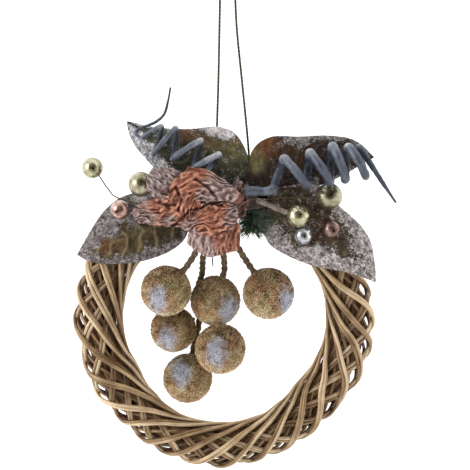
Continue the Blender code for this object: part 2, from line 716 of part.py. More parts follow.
def make_ball_stems(parent):
    """Wrapped wire stems, from under the stem bundle down to the balls."""
    underside = STEM_BUNDLE_UP - STEM_BUNDLE_RADIUS - GAP
    for name, (ball, places, fronts) in BALL_STEMS.items():
        top = Vector((BALL_STEM_STARTS[name] * MM, -stem_bundle_front(), underside))
        route = [top]
        for (right, up), front in zip(places, fronts):
            route.append(bunch_spot(right, front, up))
        route.append(towards_ball(ball, route[-1]))
        path = smooth_route(route, POINTS_PER_STEM_PLACE * len(places))
        make_bar(name, path, even(BALL_STEM_RADIUS * bunch_scale()), STEM_SIDES, "stem",
                 parent)
    for name, (ball, place) in BALL_TWIGS.items():
        start = bunch_spot(*place)
        path = smooth_route([start, towards_ball(ball, start)], 2)
        make_bar(name, path, even(TWIG_RADIUS * bunch_scale()), STEM_SIDES, "stem", parent)


def make_beads(parent):
    for name, (place, radius) in BEADS.items():
        finish = name.rsplit("_", 1)[0]
        make_sphere(name, spot(*place), radius * MM, BEAD_SEGMENTS, BEAD_ROWS, finish,
                    parent)


def bead_edge(name, point):
    """Where a wire that comes from the point ends, just clear of the bead."""
    place, radius = BEADS[name]
    middle = spot(*place)
    return middle + (point - middle).normalized() * (radius * MM + GAP)


def make_bead_wires(parent):
    """Thin wires from the beads to the nearer end of the stem bundle."""
    for name, (bead, places, seat) in BEAD_WIRES.items():
        route = [spot(*place) for place in places]
        route.insert(0, bead_edge(bead, route[0]))
        right = STEM_BUNDLE_RIGHT + GAP
        if BEADS[bead][0][0] < 0:
            right = STEM_BUNDLE_LEFT - GAP
        seated = Vector((right, -seat[0] * MM, seat[1] * MM))
        lead_in = Vector((math.copysign(WIRE_LEAD_IN, right), 0, 0))
        route += [seated + lead_in, seated]
        path = smooth_route(route, POINTS_PER_WIRE_PLACE * (len(places) + 1))
        make_bar(name, path, even(WIRE_RADIUS), WIRE_SIDES, "stem", parent)
    route = [spot(*place) for place in WRAPPED_STEM_ROUTE]
    route.append(bead_edge("bead_gold_4", route[-1]))
    path = smooth_route(route, WRAPPED_STEM_POINTS)
    make_bar("wrapped_stem", path, even(WRAPPED_STEM_RADIUS), STEM_SIDES, "stem", parent)
    path = smooth_route([spot(*place) for place in WIRE_END_ROUTE], WIRE_END_POINTS)
    make_bar("wire_end", path, even(WIRE_RADIUS), WIRE_SIDES, "stem", parent)


def make_pine_sprig(parent):
    """A short twig whose every face is drawn out into a needle."""
    shape = bmesh.new()
    top = Vector((SPRIG_RIGHT, -stem_bundle_front() - SPRIG_FORWARD,
                  STEM_BUNDLE_UP - STEM_BUNDLE_RADIUS - GAP))
    rings = []
    for index in range(SPRIG_ROWS + 1):
        ring = []
        for step in range(NEEDLES_PER_ROW):
            angle = 2 * math.pi * step / NEEDLES_PER_ROW
            offset = Vector((math.cos(angle), math.sin(angle), 0)) * SPRIG_RADIUS
            middle = top + Vector(SPRIG_ROW_STEP) * index
            ring.append(shape.verts.new(middle + offset))
        rings.append(ring)
    bridge(shape, rings)
    shape.faces.new(rings[0])
    shape.faces.new(rings[-1])
    bmesh.ops.recalc_face_normals(shape, faces=shape.faces)
    sides = [face for face in shape.faces if abs(face.normal.z) < 0.5]
    for index, face in enumerate(sides):
        middle = face.calc_center_median()
        outward = (middle - Vector((top.x, top.y, middle.z))).normalized()
        direction = needle_direction(outward)
        shorter = NEEDLE_UNEVENNESS * (1 - math.sin(NEEDLE_TURN * index)) / 2
        length = NEEDLE_LENGTH * (1 - shorter)
        poked = bmesh.ops.poke(shape, faces=[face])
        poked["verts"][0].co = middle + direction * length
    add_object("pine_sprig", mesh_of("pine_sprig", shape), "needle", parent)


def needle_direction(outward):
    """Needles droop, lean forward off the ring, and reach less far towards the leaf."""
    right = outward.x * (NEEDLE_REACH_TOWARDS_LEAF if outward.x > 0 else 1.0)
    share, all_forward = NEEDLE_LEAN
    back = min(outward.y, 0) * share - all_forward
    return Vector((right, back, -NEEDLE_DROOP)).normalized()


def build():
    hook = make_empty("hook_point", Vector((0, 0, 0)))
    ring_middle = Vector((-RING_LEFT_OF_HOOK, 0, -CORD_DROP - RING_RADIUS))
    ring_centre = make_empty("ring_centre", ring_middle, hook)
    spray_place = Vector((-RING_LEFT_OF_HOOK, -RING_TUBE_RADIUS, -CORD_DROP))
    spray = make_empty("spray_place", spray_place, hook)
    make_ring(ring_centre)
    make_cord(hook.location, hook)
    make_stem_bundle(spray)
    for name in LEAVES:
        make_leaf(name, spray)
    for name in PETALS:
        make_petal(name, spray)
    make_tendrils(spray)
    make_balls(spray)
    make_ball_stems(spray)
    make_beads(spray)
    make_bead_wires(spray)
    make_pine_sprig(spray)


clear_scene()
MATERIALS = {name: make_material(name) for name in COLOURS}
build()
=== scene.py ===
"""Looks of the christmas door wreath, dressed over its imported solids.

Places in the spray are (right, front, up) in millimetres, measured from the middle
of the ring's top and counted forward from the plane that touches the ring's front.
"""

import math
import bmesh
import bpy
import numpy as np
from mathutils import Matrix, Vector
from mathutils.noise import noise


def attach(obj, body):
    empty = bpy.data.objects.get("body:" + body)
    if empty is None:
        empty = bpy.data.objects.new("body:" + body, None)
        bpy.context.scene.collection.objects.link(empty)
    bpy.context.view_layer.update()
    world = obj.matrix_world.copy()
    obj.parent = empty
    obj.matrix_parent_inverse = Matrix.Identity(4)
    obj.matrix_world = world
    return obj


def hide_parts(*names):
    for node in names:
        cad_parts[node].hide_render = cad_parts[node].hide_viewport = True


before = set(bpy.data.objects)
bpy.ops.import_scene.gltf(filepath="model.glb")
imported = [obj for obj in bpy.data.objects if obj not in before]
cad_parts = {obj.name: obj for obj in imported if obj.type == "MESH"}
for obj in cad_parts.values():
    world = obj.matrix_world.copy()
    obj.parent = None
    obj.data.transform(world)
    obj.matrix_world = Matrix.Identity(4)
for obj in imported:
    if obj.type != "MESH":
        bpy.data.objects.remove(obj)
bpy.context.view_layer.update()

MM = 0.001
TURN = 2 * math.pi
UV_LENGTH = 10 * MM
CURVE_STEPS = 16
SPRAY = np.array((-2.0, -16.25, -162.0)) * MM
RING_MIDDLE = np.array((-2.0, 0.0, -245.75)) * MM

# Camera: straight in front, at the height of the middle of the picture
CAMERA_PLACE = (0.005, -0.870, -0.19013)
CAMERA_LENS = 99.96
SENSOR = 36.0
# Light: white surroundings, with the darker room behind and above the camera
SURROUNDINGS = 1.45
ROOM_BRIGHTNESS = 0.12
ROOM_DIRECTION = (0, -1, 0.25)
ROOM_EDGE = (0.6, 0.85)
LIGHTS = {"light_left": (-0.75, -0.45, 0.05), "light_below": (0.25, -0.45, -0.85)}
LIGHT_TARGET = (0, 0, -0.22)
LIGHT_SIZE = 0.5
LIGHT_POWER = 3.0
FLOOR_HEIGHT = -0.65
FLOOR_RADIUS = 1.1

# Ring
RING_RADIUS = 83.75 * MM
TUBE_RADIUS = 16.25 * MM
# Each bundle of canes closes up after two rounds of the ring
WINDINGS = 3.5
BUNDLES = 8
# How much quicker the canes wind round the outer edge than on average
OUTER_QUICKENING = 2.0
CANE_RADIUS = 1.2 * MM
CANE_SIDES = 7
CANE_STEPS = 720
CANE_SWAY = 4.5
CANE_LIFT = 0.35 * MM
# How much deeper the second cane of a bundle dips along the inner edge
SECOND_DIP = 0.8 * MM
UNDER_RADIUS = 11.4 * MM
UNDER_SINK = 1.0 * MM
UNDER_CANE_RADIUS = 1.1 * MM
CROSS_RADIUS = 13.2 * MM
CROSS_SINK = 2.8 * MM
HOOP_CANES = 10
HOOP_STEPS = 150
HOOP_SWAY = 12
HOOP_RADIUS = 7.0 * MM
HOOP_INNER_RISE = 2.5 * MM
HOOP_CANE_RADIUS = 2.4 * MM
# The ring's unevenness: at how many degrees round it, then how many degrees the canes are
# ahead, and how many millimetres the ring lies outwards and its tube is thicker there
RING_UNEVENNESS = [
    (0, -1, 0, 0), (20, -2, -0.6, -0.8), (50, 0, 0, 0), (80.4, 3.3, 0, 0), (94.9, 4.9, 0, 0),
    (130, 2.5, 0, 0), (160, 1, 0.3, 0), (180, 0, 0.3, 0.4), (197, 4, -1, 0),
    (207, 3.8, -1.3, 1.2), (222, 3.4, -1.3, -1.2), (245, 0.2, 0.5, -1.8),
    (268, -1.5, 0.4, -0.8), (290, -2.8, -1.1, -2), (306, -2.6, -2.5, -1.3),
    (319, -2.4, -3.8, -0.2), (335, 0.7, -1.2, 0.2), (349, 1.9, 0, 0.6), (360, -1, 0, 0),
]

# Cord
CORD_DIAMETER = 1.5 * MM
CORD_DROP = 162.0
CORD_LOOP_RADIUS = 4.5
CORD_TWIST_DEPTH = 0.14
CORD_TWIST_PITCH = 5 * MM
CORD_SIDES = 12
CORD_STEP = 0.55 * MM
# How far above the ring's outer edge each end of the cord starts
CORD_RISE = 0.3
CORD_LEFT = [(-7.2, 30), (-7, 45), (-6, 78), (-5, 128.5), (-4.5, 148)]
CORD_RIGHT = [(14.2, 26), (12.6, 45), (9.8, 73), (6.4, 107), (5.2, 128.5), (4.5, 148)]

# Leaves: the rib from the stalk to the tip, and the left and right margins without the tip
LEAVES = {
    "leaf_lower_left": (
        [(-16.2, 3.5, -9.5), (-38.5, 4.5, -20), (-68, 5, -31.5), (-96, 3, -41)],
        [(-16.2, 3.5, -8), (-26, 3, -3.5), (-45, 2, 0.5), (-65, 2, -2.5), (-78, 2.5, -12),
         (-87.5, 3, -26)],
        [(-16.2, 3.5, -11), (-21.5, 3, -19), (-26, 2.5, -31), (-37, 2, -39.5), (-55, 2, -45.5),
         (-74.5, 2.5, -47), (-87.5, 3, -45.5)],
    ),
    "leaf_lower_right": (
        [(26.5, 4, -8), (48, 4.5, -19.5), (74, 4, -36.5), (99, 1, -59)],
        [(26.5, 4, -9.5), (24, 2.5, -19.5), (26.5, 2, -29), (33, 1.8, -37), (54, 2, -47),
         (80, 2.5, -52.5)],
        [(26.5, 4, -6.5), (33, 3, 1.6), (46, 1, 4.6), (58, -2.8, 5.8), (66, -5, 1.8),
         (75.5, -4, -9), (87, -3, -19.5), (95.5, -2, -31.5), (98.5, -1, -47)],
    ),
    "leaf_upper_left": (
        [(2.5, 3, -2.4), (-16, 3, 14), (-39, 0, 30), (-64.5, -8, 47)],
        [(1, 3, -2.4), (-22.5, 2.5, 1), (-38.5, 1.5, 8), (-48.5, -2, 18.5), (-58.3, -5, 30),
         (-62.8, -7, 39)],
        [(5, 3, -2.4), (15.5, 1.5, 9), (15.5, 0.5, 23), (7.5, -2, 38), (-5, -4, 43),
         (-22.5, -4, 41.5), (-43.5, -6, 42.5)],
    ),
    "leaf_upper_right": (
        [(17, 3, -2.4), (43, 2.5, 15.5), (69, 1, 24), (98.5, -4, 23)],
        [(18.5, 3, -2.4), (43, -0.5, 1), (64, -4.5, 5), (80, -4.5, 12.5)],
        [(13.5, 3, -2.4), (15, 3, 12), (18.5, 1, 27.5), (30, -2, 36), (49.5, -3, 36.5),
         (70.5, -3, 37), (86.5, -3, 33.5)],
    ),
}
# Colours of a leaf: its cloth, dark and light, its ribs, and its glitter from dark to light
LEAF_LOOKS = {
    "leaf_lower_left": ((0.02, 0.011, 0.004), (0.06, 0.037, 0.016), (0.29, 0.22, 0.11),
                        (0.05, 0.04, 0.036), (0.165, 0.14, 0.135), (0.46, 0.42, 0.42)),
    "leaf_lower_right": ((0.018, 0.012, 0.007), (0.088, 0.062, 0.036), (0.16, 0.12, 0.07),
                         (0.07, 0.056, 0.05), (0.31, 0.27, 0.262), (0.84, 0.78, 0.77)),
    # The upper left leaf's cloth is partly its own dark colour and partly painted shade, where it
    # lies behind the left tendril's bends
    "leaf_upper_left": ((0.009, 0.012, 0.008), (0.045, 0.045, 0.026), (0.1, 0.09, 0.05),
                        (0.08, 0.08, 0.09), (0.33, 0.32, 0.33), (0.8, 0.76, 0.77)),
    # The upper right leaf's cloth is partly its own dark colour and partly painted shade, for its
    # cupped inside
    "leaf_upper_right": ((0.01, 0.005, 0.003), (0.03, 0.016, 0.009), (0.07, 0.04, 0.02),
                         (0.035, 0.03, 0.028), (0.125, 0.115, 0.11), (0.46, 0.44, 0.42)),
}
# How wide a leaf's glitter is on the right margin, the left margin and at the tip, how many
# ribs it has, how far they lean towards the tip, and how much glitter lies on its cloth
LEAF_BORDERS = {
    "leaf_lower_left": (0.30, 0.70, 0.24, 8.5, 0.15, 0.17),
    "leaf_lower_right": (0.50, 0.80, 0.35, 9, 1.4, 0.29),
    "leaf_upper_left": (0.12, 0.44, 0.26, 10, 1.4, 0.20),
    "leaf_upper_right": (0.26, 0.14, 0.10, 10, 1.4, 0.18),
}
# Soft round patches on the leaves, by mark: right, up, reach, amount; the pale white patches are
# painted highlights on the glitter
LEAF_PATCHES = {
    "leaf_lower_left": {
        "glitter": [(-91, -38, 8, 0.9)],
        "gold": [(-62, -33, 14, 0.25)],
        "rust": [(-76, -32, 10, 0.7)],
        "painted_highlight": [(-53.5, -3, 5, 0.8)],
    },
    "leaf_lower_right": {
        "glitter": [(60, -19, 13, -1.0), (38, -1, 9, -1.1), (50, 1, 8, -1.1), (30, -12, 7, -1.0),
                    (30, -22, 7, -0.9), (93, -45, 12, 0.5), (46, -32, 9, -1.1)],
        "gold": [(36, -14, 6, 0.4)],
        "rust": [(60, -22, 14, 0.4)],
    },
    "leaf_upper_left": {
        "glitter": [(-9, 42, 4.5, 0.9), (2, 39.5, 5, 1.1), (14, 29, 9, -1.3), (16, 17, 9, -1.3),
                    (9, 9, 4.5, 0.9), (-28, 41, 8, -0.5), (-50, 21, 11, 0.7), (-57, 37, 9, 0.9)],
        "gold": [(8, 28, 12, 0.6), (-7, 27, 13, 0.35)],
        "rust": [(-24, 39, 8, 0.6), (-10, 33, 8, 0.45), (8, 33, 6, 0.4)],
        "painted_highlight": [(-6, 41, 4.5, 0.9), (4, 38, 4.5, 1.0), (9, 8, 4, 0.7)],
    },
    "leaf_upper_right": {
        "glitter": [(24, 31, 11, -1.2), (20, 14, 9, -1.2), (60, 36, 18, 0.3)],
        # The gold patches at the stalk end are partly the leaf's colour and partly painted light,
        # where that end stands lit
        "gold": [(21, 24, 4.5, 1.3), (21.5, 16, 4.5, 1.3)],
        "rust": [(27, 31, 8.5, 1.15), (50, 24, 14, 0.15)],
    },
}
GOLD = (0.27, 0.24, 0.095)
RUST = (0.20, 0.065, 0.014)
# The colour of the painted highlights on the leaves' glitter
HIGHLIGHT_GLITTER = (0.84, 0.77, 0.76)
CLOTH_THICKNESS = 0.7 * MM
MERGE_DISTANCE = 0.02 * MM
LEAF_ARCH = 1.2 * MM
# How much the margins of a leaf or petal run ahead of its rib between stalk and tip
MARGIN_LEAD = 0.35
# Steps along a leaf and a petal, and across it on each side of the rib
LEAF_GRID = (104, 36)
PETAL_GRID = (130, 44)

# Petals: layer, rib, and margins as for leaves. Places are (right, up), some with how far
# forward of its layer a curled edge stands there
PETALS = {
    "petal_bottom": (
        0, [(-2.5, -14.5), (-5.5, -28), (-8, -42.5)],
        [(-6.5, -14.5), (-21, -22.5), (-23.5, -33.5), (-13.5, -41.5)],
        [(1, -14.5), (9, -20.5), (10, -30), (7.5, -38)],
    ),
    "petal_right": (
        0, [(2.5, -10.5), (9, -6), (15.5, 2.5)],
        [(3.5, -13), (11.5, -17.5), (15.5, -9.5)],
        [(0.5, -9), (2, 1), (9, 7.5)],
    ),
    "petal_upper_left": (
        1, [(-12.5, -9), (-28.5, 2), (-46, 15, 2)],
        [(-13.5, -10.5), (-28.5, -9.5), (-42, -4.5, 3), (-49, 0.5, 7.5), (-49.5, 7.5, 7.5)],
        [(-11, -7.5), (-20.5, 7), (-28.5, 12.5), (-38, 15.5)],
    ),
    "petal_left": (
        2, [(-11.5, -13.5), (-35, -13.5), (-60, -14)],
        [(-11.5, -16), (-22, -22.5), (-35, -22.5), (-47.5, -21.5), (-55.5, -19)],
        [(-11.5, -11), (-28.5, -3.5), (-44.5, -5), (-54, -7.5)],
    ),
    "petal_front": (
        3, [(-27.5, -22), (-9, -17.5), (9.5, -14.5)],
        [(-27, -19.5), (-15.5, -11.5), (-1.5, -7.5), (6.5, -9)],
        [(-27, -24.5), (-15.5, -28), (-1.5, -28), (7, -21.5)],
    ),
    "petal_top": (
        4, [(11, -5), (-7, 1.5), (-21.5, -3), (-29.5, -20)],
        [(10.5, -8), (-1.5, -6.5), (-11, -7.5), (-17, -12)],
        [(10.5, -2), (2.5, 5.5), (-9, 12.5), (-21.5, 14.5), (-31, 8), (-34, -6)],
    ),
}
COPPER = ((0.065, 0.018, 0.011), (0.32, 0.095, 0.045), (0.80, 0.40, 0.245))
MAROON = ((0.015, 0.005, 0.004), (0.13, 0.045, 0.032), (0.38, 0.20, 0.15))
MAUVE = ((0.065, 0.033, 0.028), (0.225, 0.133, 0.118), (0.65, 0.50, 0.46))
ASH = ((0.10, 0.060, 0.055), (0.33, 0.235, 0.215), (0.70, 0.58, 0.54))
PALE = ((0.12, 0.05, 0.04), (0.45, 0.285, 0.26), (0.78, 0.63, 0.58))
# Colours, the frost all over, and the pleats: how many millimetres apart and how deep
PETAL_LOOKS = {
    "petal_bottom": (COPPER, PALE, 0.15, 3.8, 1.0),
    "petal_right": (MAROON, MAUVE, 0.2, 4.5, 1.3),
    "petal_upper_left": (MAROON, ASH, 0.9, 6.0, 1.1),
    "petal_left": (COPPER, MAUVE, 0.2, 5.5, 1.5),
    "petal_front": (COPPER, MAUVE, 0.35, 5.0, 1.5),
    "petal_top": (COPPER, MAUVE, 0.45, 5.6, 1.7),
}
# Patches of more or less frost on each petal: right, up, reach, amount
PETAL_PATCHES = {
    "petal_bottom": [(-19, -34, 9, 1.1), (-12, -41, 8, 0.8), (5, -30, 9, -0.3)],
    "petal_right": [(8, 3, 6, 0.4)],
    "petal_upper_left": [(-37, -2, 5, -0.5)],
    "petal_left": [(-53, -15, 11, 0.8), (-36, -20, 5, 0.4), (-46, -7, 5, -0.4)],
    "petal_front": [(-26, -23, 8, 0.6), (-8, -19, 8, -0.4), (7, -15, 6, 0.6)],
    "petal_top": [(-25, 7, 9, -0.7), (-24, -8, 9, -0.6), (-31, -14, 8, -0.5), (-2, 3, 10, 0.6),
                  (-13, -4, 5, 0.5), (-12, 9, 6, -0.2)],
}
# Deep folds that run across the petals, as (right, up); they are sunk, and painted dark as shade
PETAL_FOLDS = [
    [(-34, -23.5), (-27, -17.5), (-21.8, -12.8), (-13.4, -10.2)],
    [(-14, -7.2), (-8, -8.4), (-1, -9)],
    [(-30, 2), (-27, -6), (-29, -13)],
    [(-41, -7.5), (-36, -9.5), (-31, -9)],
    [(-18, 7), (-11, 3), (-6, -3)],
]
FOLD_WIDTH = 0.9 * MM
FOLD_DEPTH = 1.5 * MM
# The flower: its middle, the layers' places and the dome over its middle
FLOWER_MIDDLE = (-18.0, -9.0)
FLOWER_FRONT = 10.6
LAYER_STEP = 2.6
DOME_HEIGHT = 5.0
DOME_RADIUS = 45.0

# Balls: middle, radius, and the middle (right, up) of the frosted patch, in radii
BALLS = {
    1: ((-38, 0.75, -64.5), 16.2, (-0.29, -0.33)),
    2: ((-6, -8.25, -71.5), 16.2, (0.54, -0.37)),
    3: ((29, -4.25, -66.5), 16.6, (0.74, -0.28)),
    4: ((-34, -16.25, -91), 14.9, (-0.23, -0.38)),
    5: ((-2.5, 0.75, -102.5), 16.2, (-0.14, -0.10)),
    6: ((-24.5, -16.25, -123.5), 16.1, (-0.25, 0.33)),
}
BALL_GRANULES = 2700
FROST_REACH = (0.40, 0.58)
# The taped stem bundle: how far forward its middle lies, its ends and its radii
BUNDLE_FRONT = 3.6
BUNDLE_ENDS = ((-15, BUNDLE_FRONT, -7.5), (25.5, BUNDLE_FRONT, -7.5))
BUNDLE_RADIUS = 4.2
BUNDLE_END_RADIUS = 3.2
BUNDLE_STEPS = 160
BUNDLE_SIDES = 32
# Stems and twigs of the balls of the same number
BALL_STEMS = {
    "ball_stem_1": [(-13.5, BUNDLE_FRONT, -12), (-15.5, 3.5, -29), (-18.5, 3, -39),
                    (-24.5, 1.5, -48.5)],
    "ball_stem_2": [(-1, BUNDLE_FRONT, -12), (-1, 3, -29), (-0.5, -1, -40.5), (0, -7, -51)],
    "ball_stem_3": [(5, BUNDLE_FRONT, -12), (6, 3, -29), (10, 1, -38), (15, -2, -46)],
    "ball_stem_6": [(-8.5, BUNDLE_FRONT, -12), (-11.5, 2.5, -29), (-14, -4, -42),
                    (-15, -13, -54), (-18, -20.5, -63.5), (-17.5, -22, -76),
                    (-17.2, -21.5, -88), (-19.5, -21, -97)],
    "ball_twig_4": [(-19.9, -22, -84)],
    "ball_twig_5": [(-17.3, -19, -95.5)],
}
# Bars: radius and length of a step in millimetres, and number of sides
STEM_SIZE = (2.25, 0.7, 16)
TWIG_SIZE = (1.2, 0.5, 12)
WRAPPED_SIZE = (1.85, 0.4, 20)
WIRE_SIZE = (0.5, 0.6, 8)
# How deep stems and wires reach into beads and balls, as a share of their radius
MEETING_SHARE = 0.93

# Beads: middle, radius, where the drilled hole faces (right, forward, up), and brightness:
# a factor on the bead's colours; the darker ones are also rougher
BEADS = {
    "bead_gold_1": ((-85.5, 6, 15.5), 6.9, (0.15, 1, -0.1), 0.87),
    "bead_gold_2": ((-53.5, 14, 4.5), 8.1, (0.1, 1, 0.2), 0.70),
    "bead_gold_3": ((68, 7, -3), 8.7, (0.1, 1, 0.1), 0.63),
    "bead_gold_4": ((47.5, 15, -16), 7.4, (0.2, 1, 0.15), 0.92),
    "bead_copper_1": ((-67, 12.5, -12), 6.3, (-0.3, 1, -0.2), 1.02),
    "bead_copper_2": ((69, 11, -24.5), 5.5, (0.3, 1, -0.2), 0.55),
    "bead_silver_1": ((51, 11, -28.5), 5.8, (0.15, 1, -0.1), 0.98),
}
BEAD_COLOURS = {
    "bead_gold": ((0.30, 0.27, 0.15), (0.56, 0.51, 0.32), (0.85, 0.81, 0.60)),
    "bead_copper": ((0.28, 0.14, 0.11), (0.50, 0.30, 0.25), (0.78, 0.60, 0.55)),
    "bead_silver": ((0.38, 0.40, 0.43), (0.60, 0.62, 0.66), (0.88, 0.90, 0.95)),
}
BEAD_SIDES = 48
BEAD_ROWS = 41
HOLE_RADIUS = 0.7
# Wires: the bead that each starts in, if any, and the wire's places
WIRES = {
    "bead_wire_1": ("bead_gold_1", (-81, 6, 10), (-75.2, 7, 1.6), (-69, 7.5, -4), (-49, 7.8, -8.8),
                    (-25, 7, -8.5), (-18.3, 5, -8), (-15.3, 5, -8)),
    "bead_wire_2": ("bead_gold_2", (-44, 9.2, -0.5), (-34, 8, -4.5), (-25, 6.5, -6),
                    (-18.3, 4, -5.8), (-15.3, 4, -5.8)),
    "bead_wire_3": ("bead_copper_1", (-58, 9.3, -12.5), (-46, 8.5, -12), (-25, 7.5, -10.5),
                    (-18.3, 5.3, -9.4), (-15.3, 5.3, -9.4)),
    "bead_wire_4": ("bead_gold_3", (56, 6.5, -4), (42, 6.5, -4), (32, 6.3, -4.5),
                    (28.8, 4.3, -5.3), (25.8, 4.3, -5.3)),
    "bead_wire_5": ("bead_silver_1", (43, 8.2, -23), (36, 7.3, -16), (31, 6.6, -11),
                    (28.8, 5.5, -8.8), (25.8, 5.5, -8.8)),
    "bead_wire_6": ("bead_copper_2", (60, 7.5, -19), (53, 6.6, -12), (42, 6.6, -7.2),
                    (33, 6.8, -6.6), (28.8, 5.4, -7.2), (25.8, 5.4, -7.2)),
    "wire_end": (None, (-6, BUNDLE_FRONT, -12.2), (-7.5, 3, -29), (-7.8, 2, -42),
                 (-7.4, 1.5, -48.5)),
}
WRAPPED_STEM = [(21, 11.5, -5.5), (28, 12, -8.5), (36, 13.2, -12)]

# Tendrils: the stalk, the bends from bottom to top and back, and the tail, then how far
# forward the bends are, how deep they run, and how thick and how late to thin out it is
TENDRIL_RIGHT = {
    "stalk": [(13.5, 17.3, 0), (20, 17.5, 0), (26, 18.5, -0.3)],
    "bends": [(31, 1), (38.5, 20.5), (52.5, 3.8), (55, 24), (67.5, 6), (69.5, 28.2),
              (77.5, 7.5), (79.5, 28), (90.5, 9.2), (87, 27.8)],
    "tail": [(92, 21.5, 19.5), (101, 19, 6), (110.5, 15, -7.5)],
    "front": 19.5, "depth": 9.5, "radius": 3.1, "lateness": 8,
}
TENDRIL_LEFT = {
    "stalk": [(-6, 6.4, -0.6), (-7, 8.5, 4), (-9, 12, 9)],
    "bends": [(-11.5, 12.5), (-3.5, 23.5), (-20.5, 14), (-15, 32.5), (-33, 21), (-31, 40.5),
              (-45.5, 23.5), (-40, 42), (-53, 34)],
    "tail": [(-56.8, 13.5, 37), (-55.5, 11.5, 40), (-51, 10.5, 42), (-44, 11, 45),
             (-38.5, 13, 50), (-36, 14, 58.5), (-34.5, 14, 67)],
    "front": 15.0, "depth": 8.0, "radius": 2.2, "lateness": 2.5,
}
TENDRIL_TIP = 0.7
TENDRIL_STEP = 0.9 * MM
TENDRIL_SIDES = 16
BEND_STEPS = 6
# The painted light on the stalk, in place of the highlights on the bends
STALK_LIGHT = 0.3

NEEDLES = 300
SPRIG_TOP = np.array((17.5, 5.6, -12.0))
SPRIG_REACH = np.array((0.5, 0.5, -13.0))
TWIG_RADIUS = 0.55 * MM
NEEDLE_LENGTH = 11.5
# Every so many needles, one is longer and bends to the right over the leaf
LONG_NEEDLE_EVERY = 9
LONG_NEEDLE = 17.0


# Curves and meshes

def spot(right, front, up):
    """A place in the spray, given in millimetres."""
    return np.array((right, -front, up)) * MM + SPRAY


def spots(places):
    return np.array([spot(*place) for place in places])


def curve_through(points):
    """A dense smooth line through the points."""
    points = np.asarray(points, float)
    ends = np.vstack((2 * points[0] - points[1], points, 2 * points[-1] - points[-2]))
    share = np.linspace(0, 1, CURVE_STEPS, endpoint=False)[:, None]
    pieces = []
    for a, b, c, d in zip(ends, ends[1:], ends[2:], ends[3:]):
        pieces.append(0.5 * (2 * b + (c - a) * share + (2 * a - 5 * b + 4 * c - d) * share ** 2
                             + (3 * b - a - 3 * c + d) * share ** 3))
    return np.vstack((*pieces, points[-1:]))


def length_along(line):
    steps = np.linalg.norm(np.diff(line, axis=0), axis=1)
    return np.concatenate(([0.0], np.cumsum(steps)))


def spread(line, shares):
    """Points at the given shares of the line's length."""
    lengths = length_along(line)
    target = np.asarray(shares) * lengths[-1]
    return np.stack([np.interp(target, lengths, line[:, axis]) for axis in range(3)], 1)


def smooth_path(points, step):
    """The smooth line through the points, with a point every step."""
    line = curve_through(points)
    count = max(4, round(length_along(line)[-1] / step) + 1)
    return spread(line, np.linspace(0, 1, count))


def unit(vectors):
    return vectors / np.linalg.norm(vectors, axis=-1, keepdims=True)


def eased(share):
    """The share, but slow near 0 and 1."""
    return (1 - np.cos(math.pi * share)) / 2


def field(*places):
    """Smooth noise at the places, given as three arrays or numbers."""
    return np.vectorize(lambda *place: noise(Vector(place)), otypes=[float])(*places)


def put_in_scene(name, data):
    thing = bpy.data.objects.new(name, data)
    bpy.context.scene.collection.objects.link(thing)
    return thing


def dress(name, mesh, look, node):
    """A piece of the root body, which stands for the node."""
    mesh.materials.append(look)
    piece = put_in_scene(name, mesh)
    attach(piece, "root")
    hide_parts(node)
    return piece


def make_piece(name, shape, look, slot, node, **marks):
    """A smooth piece from vertices, faces and maybe uv, with its marks at the vertices."""
    verts, faces, *uvs = shape
    mesh = bpy.data.meshes.new(name)
    mesh.from_pydata(np.asarray(verts).tolist(), [], [tuple(face) for face in faces])
    for uv in uvs:
        layer = mesh.uv_layers.new(name="UVMap")
        layer.data.foreach_set("uv", np.asarray(uv, np.float32).ravel())
    for mark, values in marks.items():
        attribute = mesh.attributes.new(mark, "FLOAT", "POINT")
        attribute.data.foreach_set("value", np.asarray(values, np.float32).ravel())
    mesh.shade_smooth()
    mesh.update()
    return dress(name, mesh, look, node)


def grid_quads(rows, columns, closed_rows, closed_columns):
    """Faces between neighbours in a grid, which may close up either way."""
    row = np.arange(rows if closed_rows else rows - 1)[:, None]
    column = np.arange(columns if closed_columns else columns - 1)[None, :]
    below, beside = (row + 1) % rows, (column + 1) % columns
    corners = (row * columns + column, row * columns + beside,
               below * columns + beside, below * columns + column)
    return np.stack(corners, -1).reshape(-1, 4)


def carried_frames(path, closed=False):
    """Directions along the path, and a side direction that turns with it."""
    if closed:
        ahead = unit(np.roll(path, -1, 0) - np.roll(path, 1, 0))
    else:
        ahead = unit(np.gradient(path, axis=0))
    side = np.cross(ahead[0], (0, 0, 1))
    if np.linalg.norm(side) < 0.1:
        side = np.cross(ahead[0], (0, 1, 0))
    sides = []
    for direction in ahead:
        side = side - direction * side.dot(direction)
        side = side / np.linalg.norm(side)
        sides.append(side)
    return ahead, np.array(sides)


def twist(strands, depth, pitch):
    """Relief of strands twisted together."""
    def relief(angle, run):
        turned = angle - TURN * run / pitch
        return 1 + depth * (np.cos(strands * turned) - 1) / 2
    return relief


def wraps(depth, pitch):
    """Relief of a tape wound round a bar, each turn lapping over the last."""
    def relief(angle, run):
        return 1 - depth * ((run / pitch - angle / TURN) % 1)
    return relief


